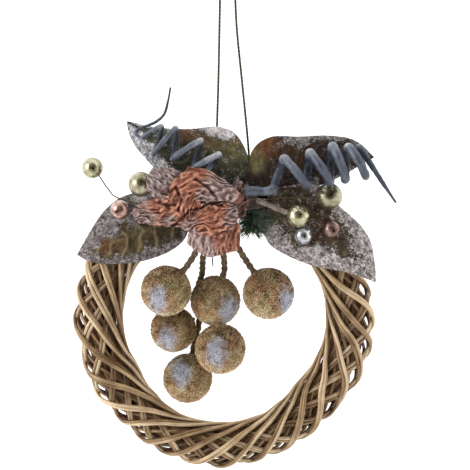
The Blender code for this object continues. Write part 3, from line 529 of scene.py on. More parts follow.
def sweep(path, radii, sides, across=None, relief=None, closed=False):
    """Vertices, faces and uv of a bar along the path."""
    ahead, side = carried_frames(path, closed)
    if across is not None:
        side = unit(across - ahead * np.sum(across * ahead, 1, keepdims=True))
    other = np.cross(ahead, side)
    count = len(path)
    lengths = length_along(path)
    angles = TURN * np.arange(sides) / sides + math.pi
    reach = np.broadcast_to(np.asarray(radii, float), count)[:, None] * np.ones(sides)
    if relief:
        reach = reach * relief(angles[None, :], lengths[:, None])
    rings = (path[:, None, :] + side[:, None, :] * (reach * np.cos(angles))[..., None]
             + other[:, None, :] * (reach * np.sin(angles))[..., None])
    if closed:
        lengths = np.append(lengths, lengths[-1] + np.linalg.norm(path[0] - path[-1]))
    near, left = np.meshgrid(lengths[:-1] / UV_LENGTH, np.arange(sides) / sides, indexing="ij")
    far = near + np.diff(lengths)[:, None] / UV_LENGTH
    right = left + 1 / sides
    uv = np.stack((left, near, right, near, right, far, left, far), -1).reshape(-1, 2)
    faces = grid_quads(count, sides, closed, True).tolist()
    if not closed:
        faces.append(list(reversed(range(sides))))
        faces.append(list(range((count - 1) * sides, count * sides)))
        uv = np.vstack((uv, np.zeros((2 * sides, 2))))
    return rings.reshape(-1, 3), faces, uv


def make_joined(name, parts, look, slot, node):
    """One piece from several bars, each with its own brightness mark, which may carry painted
    shade.
    """
    verts, faces, uvs, tones = [], [], [], []
    offset = 0
    for tone, (more, their_faces, uv) in parts:
        verts.append(more)
        faces += [[corner + offset for corner in face] for face in their_faces]
        uvs.append(uv)
        tones.append(np.repeat(tone, len(more) // np.size(tone)))
        offset += len(more)
    shape = np.vstack(verts), faces, np.vstack(uvs)
    make_piece(name, shape, look, slot, node, tone=np.concatenate(tones))


# Looks

class Nodes:
    """The nodes of a material or of the world."""

    def __init__(self, owner):
        owner.use_nodes = True
        self.tree = owner.node_tree

    def put(self, node, socket, value):
        """Link the value to the node's socket, or set it there."""
        target = node.inputs[socket]
        if hasattr(value, "is_output"):
            self.tree.links.new(value, target)
        else:
            target.default_value = (*value, 1) if target.type == "RGBA" else value

    def add(self, kind, inputs, output=0, **settings):
        """An output of a new node."""
        node = self.tree.nodes.new(kind)
        for key, value in settings.items():
            setattr(node, key, value)
        for key, value in inputs.items():
            self.put(node, key, value)
        return node.outputs[output]


class Paint(Nodes):
    """A material and the nodes that colour it."""

    def __init__(self, name, **sockets):
        self.material = bpy.data.materials.new(name)
        super().__init__(self.material)
        self.shader = self.tree.nodes["Principled BSDF"]
        # Places in metres, the same all over the object
        self.place = self.add("ShaderNodeTexCoord", {}, "Object")
        self.send(**sockets)

    def send(self, **sockets):
        for socket, value in sockets.items():
            self.put(self.shader, socket.replace("_", " "), value)

    def mark(self, name):
        return self.add("ShaderNodeAttribute", {}, "Fac", attribute_name=name)

    def noise(self, scale, detail=3.0, rough=0.55, vector=None):
        inputs = {"Vector": vector or self.place, "Scale": scale, "Detail": detail,
                  "Roughness": rough}
        return self.add("ShaderNodeTexNoise", inputs)

    def bar_noise(self, around, run, detail=3.0):
        """Noise on a bar, with so many cells round it and so many per 10 mm."""
        uv = self.add("ShaderNodeUVMap", {}, uv_map="UVMap")
        inputs = {"Vector": uv, "Scale": (around, run, 1)}
        return self.noise(1.0, detail, vector=self.add("ShaderNodeMapping", inputs))

    def cells(self, scale, output="Color"):
        return self.add("ShaderNodeTexVoronoi", {"Vector": self.place, "Scale": scale}, output)

    def grains(self, scale):
        """Cells, each with a value of its own."""
        return self.add("ShaderNodeSeparateColor", {0: self.cells(scale)})

    def times(self, a, b):
        return self.add("ShaderNodeMath", {0: a, 1: b}, operation="MULTIPLY")

    def total(self, start, *parts):
        """The start value plus the parts, each given with its weight."""
        for value, weight in parts:
            inputs = {0: value, 1: weight, 2: start}
            start = self.add("ShaderNodeMath", inputs, operation="MULTIPLY_ADD")
        return start

    def ramp(self, factor, stops, tones):
        result = self.add("ShaderNodeValToRGB", {0: factor})
        elements = result.node.color_ramp.elements
        while len(elements) < len(stops):
            elements.new(0.5)
        for element, position, tone in zip(elements, stops, tones):
            element.position = position
            element.color = (*tone, 1)
        return result

    def step(self, factor, low, high):
        """0 below low, 1 above high."""
        inputs = {"Value": factor, "From Min": low, "From Max": high}
        return self.add("ShaderNodeMapRange", inputs)

    def mix(self, factor, a, b, blend="MIX"):
        inputs = {0: factor, 6: a, 7: b}
        return self.add("ShaderNodeMix", inputs, 2, data_type="RGBA", blend_type=blend)

    def done(self, colour, height, distance, strength):
        """The material with this colour, and bumps of this height."""
        inputs = {"Height": height, "Distance": distance, "Strength": strength}
        self.send(Base_Color=colour, Normal=self.add("ShaderNodeBump", inputs))
        return self.material


def cane_look(name, metallic, *tones):
    """Painted cane, with fine lengthwise streaks and a brightness that differs by cane, plus
    painted shade where a cane sinks along the inner edge.
    """
    paint = Paint(name, Metallic=metallic)
    streaks = paint.bar_noise(7, 0.35, 4.0)
    level = paint.total(-0.175, (streaks, 0.6), (paint.noise(90.0, 2.0), 0.4),
                        (paint.mark("tone"), 0.35))
    paint.send(Roughness=paint.total(0.34, (paint.step(streaks, 0.3, 0.7), 0.21)))
    return paint.done(paint.ramp(level, (0.30, 0.5, 0.72), tones), streaks, 0.3 * MM, 0.5)


def leaf_look(name, shade, light, vein, *glitter_tones):
    """Velvet cloth with paler ribs, and coarse glitter where the glitter mark says."""
    paint = Paint(name, Roughness=0.7, Sheen_Weight=0.06, Specular_IOR_Level=0.25)
    cloth = paint.noise(260.0, 4.0)
    colour = paint.ramp(cloth, (0.35, 0.62), (shade, light))
    for mark, low, tint in (("gold", 0.15, GOLD), ("rust", 0.15, RUST), ("rib", 0.2, vein)):
        amount = paint.times(paint.mark(mark), paint.step(cloth, low, 0.7))
        colour = paint.mix(amount, colour, tint)
    grains = paint.grains(1050.0)
    level = paint.total(paint.noise(260.0), (grains, 0.4))
    glitter = paint.ramp(level, (0.35, 0.65, 1.0), glitter_tones)
    # Painted highlight: the glitter turns near white in the patches that paint highlights
    highlighted = paint.times(paint.mark("painted_highlight"), paint.step(level, 0.2, 0.75))
    glitter = paint.mix(highlighted, glitter, HIGHLIGHT_GLITTER)
    edge = paint.total(-0.3, (paint.mark("glitter"), 1.0), (grains, 0.6))
    mask = paint.step(edge, 0.3, 0.7)
    paint.send(Metallic=paint.times(mask, 0.3))
    height = paint.total(0.0, (paint.cells(850.0, "Distance"), mask), (cloth, 0.5))
    return paint.done(paint.mix(mask, colour, glitter), height, 0.6 * MM, 0.8)


def petal_look(name, tones, frost_tones):
    """Crinkled satin, with painted shade in its creases and painted highlights on its ridges, and
    grey glitter where the frost mark says.
    """
    paint = Paint(name, Roughness=0.42, Metallic=0.1, Sheen_Weight=0.15)
    fibres = paint.noise(900.0, 4.0, 0.65)
    grains = paint.grains(1100.0)
    # Painted shading: lighter on the relief's ridges, darker in its creases and deep folds, on the
    # satin and the frost alike
    crest = paint.mark("crest")
    level = paint.total(-0.375, (crest, 0.8), (fibres, 0.2), (paint.noise(170.0), 0.75))
    colour = paint.ramp(level, (0.15, 0.48, 0.85), tones)
    flecks = paint.total(0.0, (crest, 0.8), (grains, 0.2))
    frost = paint.ramp(flecks, (0.15, 0.45, 0.85), frost_tones)
    edge = paint.total(-0.175, (paint.mark("frost"), 1.0), (grains, 0.35))
    colour = paint.mix(paint.step(edge, 0.3, 0.7), colour, frost)
    return paint.done(colour, paint.total(fibres, (grains, 0.3)), 0.4 * MM, 0.8)


def ball_look():
    """Bronze granules that differ one from another, darkened in the gaps and towards the top as
    painted shade, with a soft patch of blue-grey frost.
    """
    paint = Paint("glitter_ball_look", Roughness=0.55, Metallic=0.15)
    level = paint.total(-0.3, (paint.mark("tone"), 0.92), (paint.noise(180.0), 0.6))
    stops = (0.05, 0.35, 0.62, 0.95)
    gold = paint.ramp(level, stops, ((0.06, 0.04, 0.012), (0.36, 0.27, 0.125),
                                     (0.78, 0.65, 0.39), (1.0, 0.95, 0.72)))
    rust = paint.ramp(level, stops, ((0.06, 0.025, 0.009), (0.37, 0.19, 0.08),
                                     (0.76, 0.47, 0.26), (1.0, 0.85, 0.62)))
    bronze = paint.mix(paint.step(paint.mark("hue"), 0.35, 0.75), gold, rust)
    frost = paint.ramp(level, (0.05, 0.4, 0.8),
                       ((0.22, 0.23, 0.27), (0.55, 0.56, 0.66), (0.92, 0.93, 1.0)))
    amount = paint.times(paint.step(paint.mark("frost"), 0.15, 0.85), 0.9)
    colour = paint.mix(amount, bronze, frost)
    return paint.done(colour, paint.noise(1800.0, 2.0), 0.3 * MM, 0.6)


def tendril_look():
    """Slate grey wrapping with a pearly sheen, painted pale on the tops of its bends as highlights
    and navy on the strands behind as shade.
    """
    paint = Paint("tendril_look", Roughness=0.45, Metallic=0.15, Coat_Weight=0.15,
                  Coat_Roughness=0.3)
    level = paint.total(0.0, (paint.bar_noise(3, 0.6), 0.3), (paint.noise(150.0), 0.3),
                        (paint.mark("tone"), 0.4))
    colour = paint.ramp(level, (0.3, 0.48, 0.60, 0.74),
                        ((0.012, 0.014, 0.030), (0.070, 0.084, 0.120), (0.17, 0.19, 0.23),
                         (0.55, 0.55, 0.58)))
    olive = paint.times(paint.step(paint.noise(420.0, 2.0), 0.6, 0.72), 0.3)
    colour = paint.mix(olive, colour, (0.15, 0.16, 0.07))
    return paint.done(colour, paint.bar_noise(4, 3.0), 0.5 * MM, 0.6)


def bead_look(name, roughness, tones):
    """Glossy pearl, a little uneven in colour, with a painted reflection round its hole, dark in
    the middle, a bright ring, then darker towards the sides, and painted shade inside the hole.
    """
    paint = Paint(name, Roughness=roughness, Metallic=0.75, Coat_Weight=0.3,
                  Coat_Roughness=roughness / 2)
    colour = paint.ramp(paint.noise(300.0), (0.3, 0.5, 0.72), tones)
    # Painted reflection: dark round the hole, a bright ring, then darker towards the sides
    ring = paint.ramp(paint.mark("ring"), (0.0, 0.08, 0.16, 0.34, 0.5),
                      ((0.30, 0.28, 0.22), (0.42, 0.40, 0.33), (1.0, 1.0, 1.0),
                       (0.95, 0.95, 0.95), (0.55, 0.55, 0.55)))
    colour = paint.mix(1.0, colour, ring, "MULTIPLY")
    # Painted shade inside the hole
    colour = paint.mix(paint.mark("hole"), colour, (0.03, 0.025, 0.02))
    return paint.done(colour, paint.noise(900.0, 2.0), 0.1 * MM, 0.3)


def wrapped_look(name, *tones, roughness=0.6, metallic=0.0):
    """Tape or thread wound round a bar, seen as slanting lines."""
    paint = Paint(name, Roughness=roughness, Metallic=metallic)
    turns = paint.bar_noise(2.5, 9.0)
    level = paint.total(0.0, (turns, 0.6), (paint.noise(200.0), 0.4))
    return paint.done(paint.ramp(level, (0.3, 0.52, 0.72), tones), turns, 0.4 * MM, 0.8)


def needle_look():
    paint = Paint("needle_look", Roughness=0.5)
    clouds = paint.noise(500.0)
    level = paint.total(0.0, (clouds, 0.6), (paint.mark("tone"), 0.4))
    colour = paint.ramp(level, (0.25, 0.5, 0.8),
                        ((0.018, 0.033, 0.021), (0.058, 0.098, 0.060), (0.20, 0.27, 0.17)))
    return paint.done(colour, clouds, 0.2 * MM, 0.4)


def floor_look():
    paint = Paint("floor_look", Roughness=0.9)
    greys = ((0.80, 0.80, 0.80), (0.86, 0.86, 0.86))
    paint.send(Base_Color=paint.ramp(paint.noise(4.0, 2.0), (0.3, 0.7), greys))
    return paint.material


# Camera, light and floor

def make_camera():
    data = bpy.data.cameras.new("camera")
    data.lens = CAMERA_LENS
    data.sensor_width = SENSOR
    camera = put_in_scene("camera", data)
    camera.location = CAMERA_PLACE
    camera.rotation_euler = (math.pi / 2, 0, 0)
    bpy.context.scene.camera = camera


def make_studio():
    """White surroundings, darker where the room is behind the camera, and soft lights."""
    bpy.context.scene.view_settings.view_transform = "Standard"
    world = bpy.data.worlds.new("studio")
    nodes = Nodes(world)
    inputs = {0: nodes.add("ShaderNodeTexCoord", {}, "Generated"),
              1: Vector(ROOM_DIRECTION).normalized()}
    towards = nodes.add("ShaderNodeVectorMath", inputs, "Value", operation="DOT_PRODUCT")
    inputs = {"Value": towards, "From Min": ROOM_EDGE[0], "From Max": ROOM_EDGE[1],
              "To Min": SURROUNDINGS, "To Max": ROOM_BRIGHTNESS}
    inputs = {0: nodes.add("ShaderNodeMapRange", inputs),
              1: nodes.add("ShaderNodeLightPath", {}, "Is Camera Ray")}
    brightness = nodes.add("ShaderNodeMath", inputs, operation="MAXIMUM")
    sky = nodes.tree.nodes["Background"]
    nodes.put(sky, "Color", (1, 1, 1))
    nodes.put(sky, "Strength", brightness)
    bpy.context.scene.world = world
    for name, place in LIGHTS.items():
        data = bpy.data.lights.new(name, "AREA")
        data.size = LIGHT_SIZE
        data.energy = LIGHT_POWER
        light = put_in_scene(name, data)
        light.location = place
        aim = Vector(LIGHT_TARGET) - Vector(place)
        light.rotation_euler = aim.to_track_quat("-Z", "Y").to_euler()
    shape = bmesh.new()
    bmesh.ops.create_circle(shape, cap_ends=True, segments=96, radius=FLOOR_RADIUS)
    mesh = bpy.data.meshes.new("floor")
    shape.to_mesh(mesh)
    shape.free()
    mesh.materials.append(floor_look())
    floor = put_in_scene("floor", mesh)
    floor.location = (0, 0, FLOOR_HEIGHT)


# Cord

def cord_side(places):
    """One side of the cord's loop, from the ring's top upwards."""
    across = places[0][0] - RING_MIDDLE[0] / MM
    outer = (RING_RADIUS + TUBE_RADIUS) / MM
    foot = math.sqrt(outer ** 2 - across ** 2) - RING_RADIUS / MM + CORD_RISE
    return [(right, 0, up - CORD_DROP) for right, up in [(places[0][0], foot), *places]]


def make_cord():
    """The cord, from the ring's top left, over the hook and down again."""
    top = []
    for degrees in (180, 135, 90, 45, 0):
        angle = math.radians(degrees)
        up = CORD_DIAMETER / MM / 2 - CORD_LOOP_RADIUS * (1 - math.sin(angle))
        top.append((CORD_LOOP_RADIUS * math.cos(angle), 0, up))
    route = np.array([*cord_side(CORD_LEFT), *top, *reversed(cord_side(CORD_RIGHT))]) * MM
    path = smooth_path(route, CORD_STEP)
    bulge = 1 + CORD_TWIST_DEPTH / 2
    relief = twist(2, CORD_TWIST_DEPTH, CORD_TWIST_PITCH)
    shape = sweep(path, CORD_DIAMETER / 2 * bulge, CORD_SIDES, relief=relief)
    look = wrapped_look("cord_look", (0.020, 0.021, 0.010), (0.058, 0.060, 0.032),
                        (0.16, 0.16, 0.10), roughness=0.9)
    cord = make_piece("cord_string", shape, look, "cord", "hanging_cord")


# Ring

def ring_noise(around, seed, size):
    """A smooth value from -1 to 1 that closes up after one round of the ring."""
    return np.clip(field(np.cos(around) * size, np.sin(around) * size, seed) * 2, -1, 1)


def ring_unevenness(around):
    """How far ahead the canes are, and how far outwards and thicker the ring is, here."""
    degrees, *columns = np.array(RING_UNEVENNESS, float).T
    rows = np.arange(len(degrees))
    row = np.interp(np.degrees(around) % 360, degrees, rows)
    row = np.floor(row) + eased(row % 1)
    ahead, outwards, thicker = (np.interp(row, rows, column) for column in columns)
    return np.radians(ahead), outwards * MM, thicker * MM


def winding(around, phase, direction):
    """Angle round the tube of a cane that winds quickly outside and slowly inside."""
    turn = direction * WINDINGS * (around - ring_unevenness(around)[0]) + phase
    return 2 * np.arctan2(OUTER_QUICKENING * np.sin(turn / 2), np.cos(turn / 2))


def ring_path(around, turned, radius):
    """Points on the ring's tube, at these angles round the ring and round the tube."""
    outwards, thicker = ring_unevenness(around)[1:]
    radius = radius * (1 + thicker / TUBE_RADIUS)
    reach = RING_RADIUS + outwards + radius * np.cos(turned)
    path = np.stack((reach * np.cos(around), -radius * np.sin(turned),
                     reach * np.sin(around)), 1)
    outward = np.stack((np.cos(turned) * np.cos(around), -np.sin(turned),
                        np.cos(turned) * np.sin(around)), 1)
    return path + RING_MIDDLE, outward


def make_winding(name, look, seed, direction, lie, sink, strands, radius, ahead=0.0):
    """Bundles of canes wound round the tube the one way or the other.

    Strands are the places of a bundle's canes beside its middle, in degrees round the
    tube, and the sink is how much deeper the canes lie along the inner edge, where they
    are also painted darker, as painted shade.
    """
    around = 2 * TURN * np.arange(CANE_STEPS) / CANE_STEPS
    for group in range(2):
        parts = []
        for bundle in range(group, BUNDLES // 2, 2):
            sway = ring_noise(around, seed + bundle * 7.3, 2.6) * math.radians(CANE_SWAY)
            opening = ring_noise(around, seed + bundle * 5.1 + 40, 3.6) * 0.25 + 1.25
            phase = TURN * (bundle + ahead) / BUNDLES
            middle = winding(around + sway / WINDINGS, phase, direction)
            inner = (1 - np.cos(middle)) / 2
            for strand in strands:
                own = seed + bundle * 3.7 + strand * 1.9
                turned = middle + math.radians(strand) * opening * (1 - 0.5 * inner ** 2)
                depth = (sink + (strand > 0) * SECOND_DIP) * inner ** 2
                lift = ring_noise(around, own, 3.6) * CANE_LIFT
                path, outward = ring_path(around, turned, lie + lift - depth)
                girth = 1 + 0.08 * ring_noise(around, own + 17, 5.0)
                tone = 0.5 + 0.6 * noise(Vector((own, strand * 2.1, 0.4)))
                tone = tone + 0.25 * ring_noise(around, own + 31, 2.0)
                # Painted shade: canes that sink deeper are painted darker along the inner edge
                tone = tone - sink / CANE_RADIUS * 0.6 * inner ** 4
                bar = sweep(path, radius * girth, CANE_SIDES, across=outward, closed=True)
                parts.append((tone, bar))
        make_joined(f"{name}_{group + 1}", parts, look, "cane", "woven_ring")


def make_hoops(look):
    """Canes along the inside of the tube, which lie nearer to its inner edge; their dark look is
    painted shade.
    """
    parts = []
    around = TURN * np.arange(HOOP_STEPS) / HOOP_STEPS
    for cane in range(HOOP_CANES):
        sway = ring_noise(around, cane * 6.1 + 150, 2.0) * math.radians(HOOP_SWAY)
        turned = TURN * cane / HOOP_CANES + sway
        lie = HOOP_RADIUS + HOOP_INNER_RISE * (1 - np.cos(turned)) / 2
        path, outward = ring_path(around, turned, lie)
        bar = sweep(path, HOOP_CANE_RADIUS, CANE_SIDES, across=outward, closed=True)
        parts.append((0.5, bar))
    make_joined("canes_hoops", parts, look, "cane", "woven_ring")


def make_canes():
    """Bundles of canes over thinner ones and a layer wound the other way, over hoops."""
    outer = cane_look("cane_look", 0.3, (0.17, 0.09, 0.035), (0.46, 0.31, 0.165),
                      (0.85, 0.66, 0.43))
    inner = cane_look("cane_inner_look", 0.2, (0.16, 0.085, 0.035), (0.45, 0.31, 0.18),
                      (0.86, 0.68, 0.46))
    # The under and core looks are darker copies of the cane paint: painted shade for canes deep in
    # the tube
    under = cane_look("cane_under_look", 0.1, (0.11, 0.06, 0.025), (0.27, 0.165, 0.08),
                      (0.50, 0.35, 0.19))
    core = cane_look("cane_core_look", 0.0, (0.08, 0.038, 0.012), (0.17, 0.088, 0.03),
                     (0.30, 0.17, 0.06))
    make_winding("canes_wound", outer, 0, 1, TUBE_RADIUS - CANE_RADIUS, 0, (-4.4, 4.4),
                 CANE_RADIUS)
    make_winding("canes_under", under, 60, 1, UNDER_RADIUS, UNDER_SINK, (0,),
                 UNDER_CANE_RADIUS, 0.45)
    make_winding("canes_crossing", inner, 100, -1, CROSS_RADIUS, CROSS_SINK, (-5.3, 5.3),
                 CANE_RADIUS)
    make_hoops(core)


# Leaves and petals

def blade_grid(rib, left, right, stations, halves):
    """Places, share along the rib and signed distance out, on a blade's middle surface."""
    shares = np.linspace(0, 1, stations + 1)
    led = shares + MARGIN_LEAD * shares * (1 - shares)
    left, right = (spread(curve_through(np.vstack((margin, rib[-1:]))), led)
                   for margin in (left, right))
    rib = spread(curve_through(rib), shares)
    out = np.linspace(-1, 1, 2 * halves + 1)
    margin = np.where(out[None, :, None] > 0, right[:, None, :], left[:, None, :])
    share = np.abs(out)[None, :, None]
    places = rib[:, None, :] * (1 - share) + margin * share
    return places, *np.meshgrid(shares, out, indexing="ij")


def grid_normals(places):
    """Directions square to a grid's surface, towards the front."""
    normals = np.cross(np.gradient(places, axis=0), np.gradient(places, axis=1))
    lengths = np.linalg.norm(normals, axis=2, keepdims=True)
    normals = normals / np.maximum(lengths, 1e-12)
    return normals * -np.sign(normals[len(normals) // 2, normals.shape[1] // 2, 1])


def make_blade(name, places, normals, height, look, slot, **marks):
    """A closed blade: its relief on the front, a plainer back, and a joined rim."""
    half = CLOTH_THICKNESS / 2
    front = places + normals * (height + half)[..., None]
    back = places + normals * (height * 0.7 - half)[..., None]
    verts = np.vstack((front.reshape(-1, 3), back.reshape(-1, 3)))
    quads = grid_quads(*height.shape, False, False)
    index = np.arange(height.size).reshape(height.shape)
    rim = np.concatenate((index[0], index[1:, -1], index[-1, -2::-1], index[-2::-1, 0]))
    sides = np.stack((rim[:-1], rim[:-1] + height.size, rim[1:] + height.size, rim[1:]), 1)
    faces = np.vstack((quads, quads[:, ::-1] + height.size, sides))
    both = {mark: np.tile(np.clip(values, 0, 1).ravel(), 2) for mark, values in marks.items()}
    piece = make_piece(name + "_cloth", (verts, faces), look, slot, name, **both)
    shape = bmesh.new()
    shape.from_mesh(piece.data)
    bmesh.ops.remove_doubles(shape, verts=shape.verts, dist=MERGE_DISTANCE)
    bmesh.ops.recalc_face_normals(shape, faces=shape.faces)
    shape.to_mesh(piece.data)
    shape.free()
    piece.data.shade_smooth()


def patch_total(places, patches):
    """The sum of soft round patches: right, up, reach, amount."""
    total = np.zeros(places.shape[:2])
    for right, up, reach, amount in patches:
        middle = spot(right, 0, up)
        away = np.hypot(places[..., 0] - middle[0], places[..., 2] - middle[2])
        total += amount * np.exp(-(away / (reach * MM)) ** 2)
    return total


def make_leaf(name):
    places, along, out = blade_grid(*map(spots, LEAVES[name]), *LEAF_GRID)
    normals = grid_normals(places)
    right, left, tip, count, lean, specks = LEAF_BORDERS[name]
    reach = np.abs(out)
    fade = np.sin(math.pi * along)
    arch = 4 * LEAF_ARCH * reach * (1 - reach) * fade
    seed = sum(map(ord, name)) * 0.37

    def wave(scale, offset):
        x, y, z = np.moveaxis(places * scale, 2, 0)
        return field(x + offset, y, z)

    wobble = wave(160, seed)
    slant = along * count - reach * lean + wobble * 0.25
    ribs = np.maximum(0, np.cos(TURN * slant)) ** 4
    midrib = 0.4 * np.exp(-(reach * 14) ** 2)
    width = np.where(out > 0, right, left)
    near_tip = np.maximum(0, (along - (1 - tip)) / tip)
    glitter = 0.5 + (reach - (1 - width) + 0.35 * wobble) * 3 + near_tip
    patches = {mark: patch_total(places, LEAF_PATCHES[name].get(mark, ()))
               for mark in ("glitter", "gold", "rust", "painted_highlight")}
    glitter = np.clip(glitter + patches.pop("glitter") * 1.5, 0, 1)
    glitter = np.maximum(glitter, specks * np.clip(0.5 + 1.5 * wave(230, seed + 9), 0, 1))
    centre = 1 - 0.7 * glitter
    relief = (0.9 * MM * ribs * centre + 0.5 * MM * midrib * fade) * fade ** 0.3
    relief += 0.3 * MM * wave(900, 0) * glitter + 0.7 * MM * wobble * fade
    look = leaf_look(name + "_look", *LEAF_LOOKS[name])
    make_blade(name, places, normals, arch + relief, look, "leaf", glitter=glitter,
               rib=ribs * centre + midrib, **patches)


def flower_front(right, up, layer):
    aside = (right - FLOWER_MIDDLE[0]) ** 2 + (up - FLOWER_MIDDLE[1]) ** 2
    return FLOWER_FRONT + layer * LAYER_STEP + DOME_HEIGHT * max(0, 1 - aside / DOME_RADIUS ** 2)


def fold_share(places):
    """1 in the middle of a deep fold, 0 away from all of them."""
    nearest = np.full(places.shape[:2], 1.0)
    flat = places[..., (0, 2)]
    for fold in PETAL_FOLDS:
        points = [spot(right, 0, up)[[0, 2]] for right, up in fold]
        for start, end in zip(points, points[1:]):
            run = end - start
            share = np.clip((flat - start) @ run / (run @ run), 0, 1)
            away = np.linalg.norm(flat - start - share[..., None] * run, axis=-1)
            nearest = np.minimum(nearest, away)
    return np.exp(-(nearest / FOLD_WIDTH) ** 2)


def blurred(values, reach):
    """The values, each averaged with its neighbours on all sides."""
    size = 2 * reach + 1
    padded = np.pad(values, reach, "edge")
    windows = np.lib.stride_tricks.sliding_window_view(padded, (size, size))
    return windows.mean((2, 3))


def make_petal(name):
    """A petal of crumpled satin, pleated lengthwise, with sharp folds and fine wrinkles."""
    layer, *edges = PETALS[name]
    lines = [spots([(right, flower_front(right, up, layer) + sum(lift), up)
                    for right, up, *lift in edge]) for edge in edges]
    places, along, out = blade_grid(*lines, *PETAL_GRID)
    normals = grid_normals(places)
    middle = PETAL_GRID[1]
    run = along * length_along(places[:, middle])[-1] / MM
    sideways = places - places[:, middle:middle + 1]
    aside = np.linalg.norm(sideways, axis=2) / MM * np.sign(out)
    reach = np.abs(out)
    fade = np.clip(np.sin(math.pi * along) * 3, 0, 1)
    seed = layer * 9.7 + len(name)
    tones, frost_tones, everywhere, pitch, depth = PETAL_LOOKS[name]

    def wave(run_scale, aside_scale, offset):
        return field(run / run_scale + seed, aside / aside_scale, seed + offset)

    def ridges(run_scale, aside_scale, offset):
        return 1 - 2 * np.abs(wave(run_scale, aside_scale, offset))

    folds = (aside / pitch + 1.9 * wave(11, 9, 0) + 0.5 * wave(4, 4, 2)) % 1
    pleat = np.where(folds < 0.82, folds / 0.82, (1 - folds) / 0.18)
    shallow = 0.45 + 0.55 * np.clip(0.5 + 1.6 * wave(7, 5, 60), 0, 1)
    relief = (depth * shallow * pleat ** 1.3 + 1.1 * ridges(6, 4.5, 5) + 0.5 * ridges(4, 1.8, 9)
              + 0.28 * ridges(2.0, 1.6, 13) - 1.4) * MM
    folded = fold_share(places)
    relief -= FOLD_DEPTH * folded
    ruffle = wave(4, 40, 20) * reach ** 3 * 2.0 * MM
    height = (relief + ruffle) * fade + 0.6 * MM * (1 - reach) * fade
    places = places + sideways * (wave(3.2, 60, 30) * reach ** 2 * 0.14)[..., None]
    frost = everywhere + 0.5 * wave(7, 5, 40) + patch_total(places, PETAL_PATCHES[name])
    # Painted shading from the relief: ridges painted lighter as highlights, creases and deep folds
    # painted darker as shade
    proud = relief - blurred(relief, 6)
    crest = 0.5 + 0.19 * proud / proud.std() - 0.35 * folded
    look = petal_look(name + "_look", tones, frost_tones)
    make_blade(name, places, normals, height, look, "petal", frost=frost, crest=crest)


# Tendrils

def half_turn(start, end, front, depth):
    """Places from one end of a bend to the other, which bulge forward by the depth."""
    share = np.arange(BEND_STEPS) / BEND_STEPS
    right, up = (first + (last - first) * eased(share) for first, last in zip(start, end))
    return list(zip(right, front + depth * np.sin(math.pi * share), up))


def make_tendril(side, tendril, look):
    front, depth, bends = tendril["front"], tendril["depth"], tendril["bends"]
    places = list(tendril["stalk"])
    for index, (start, end) in enumerate(zip(bends, bends[1:])):
        places += half_turn(start, end, front, depth if index % 2 else -depth)
    places.append((bends[-1][0], front, bends[-1][1]))
    path = smooth_path(spots(places + tendril["tail"]), TENDRIL_STEP)
    share = np.linspace(0, 1, len(path))
    full = tendril["radius"]
    radii = (full + (TENDRIL_TIP - full) * share ** tendril["lateness"]) * MM
    radii *= 1 + 0.05 * np.sin(share * 140) + 0.04 * np.sin(share * 61 + 1)
    radii[-1] *= 0.6
    shape = sweep(path, radii, TENDRIL_SIDES, relief=wraps(0.10, 4.5 * MM))
    # All painted light: strands nearer the front lighter, those behind darker as painted shade,
    # and painted highlights on the tops of the bends
    forward = -path[:, 1] - np.mean(-path[:, 1])
    heading = unit(np.gradient(path, axis=0))[:, 2]
    level = (1 - np.abs(heading)) ** 1.5
    crest = level * np.where(np.gradient(heading) < 0, 0.8, 0.2)
    crest = np.where(share > 0.1, crest, STALK_LIGHT)
    tone = np.clip(0.25 + 0.22 * forward / (depth * MM) + crest, 0, 1)
    make_piece(f"tendril_{side}_wrapped", shape, look, "tendril", f"tendril_{side}",
               tone=np.repeat(tone, TENDRIL_SIDES))


# Balls, beads, stems, wires and needles

def granule_directions(count, random):
    """Evenly spread directions, a little disordered."""
    index = np.arange(count) + 0.5
    height = 1 - 2 * index / count
    turn = math.pi * (1 + 5 ** 0.5) * index
    flat = np.sqrt(1 - height ** 2)
    points = np.stack((flat * np.cos(turn), flat * np.sin(turn), height), 1)
    return unit(points + random.uniform(-0.02, 0.02, points.shape))


def frosted(direction, patch):
    """How much frost lies on a ball in this direction, before it is broken up."""
    if direction.y > 0:
        return 0.0
    across = (direction.x - patch[0]) / FROST_REACH[0]
    along = (direction.z - patch[1]) / FROST_REACH[1]
    return 1.35 - math.hypot(across, along) * 0.95


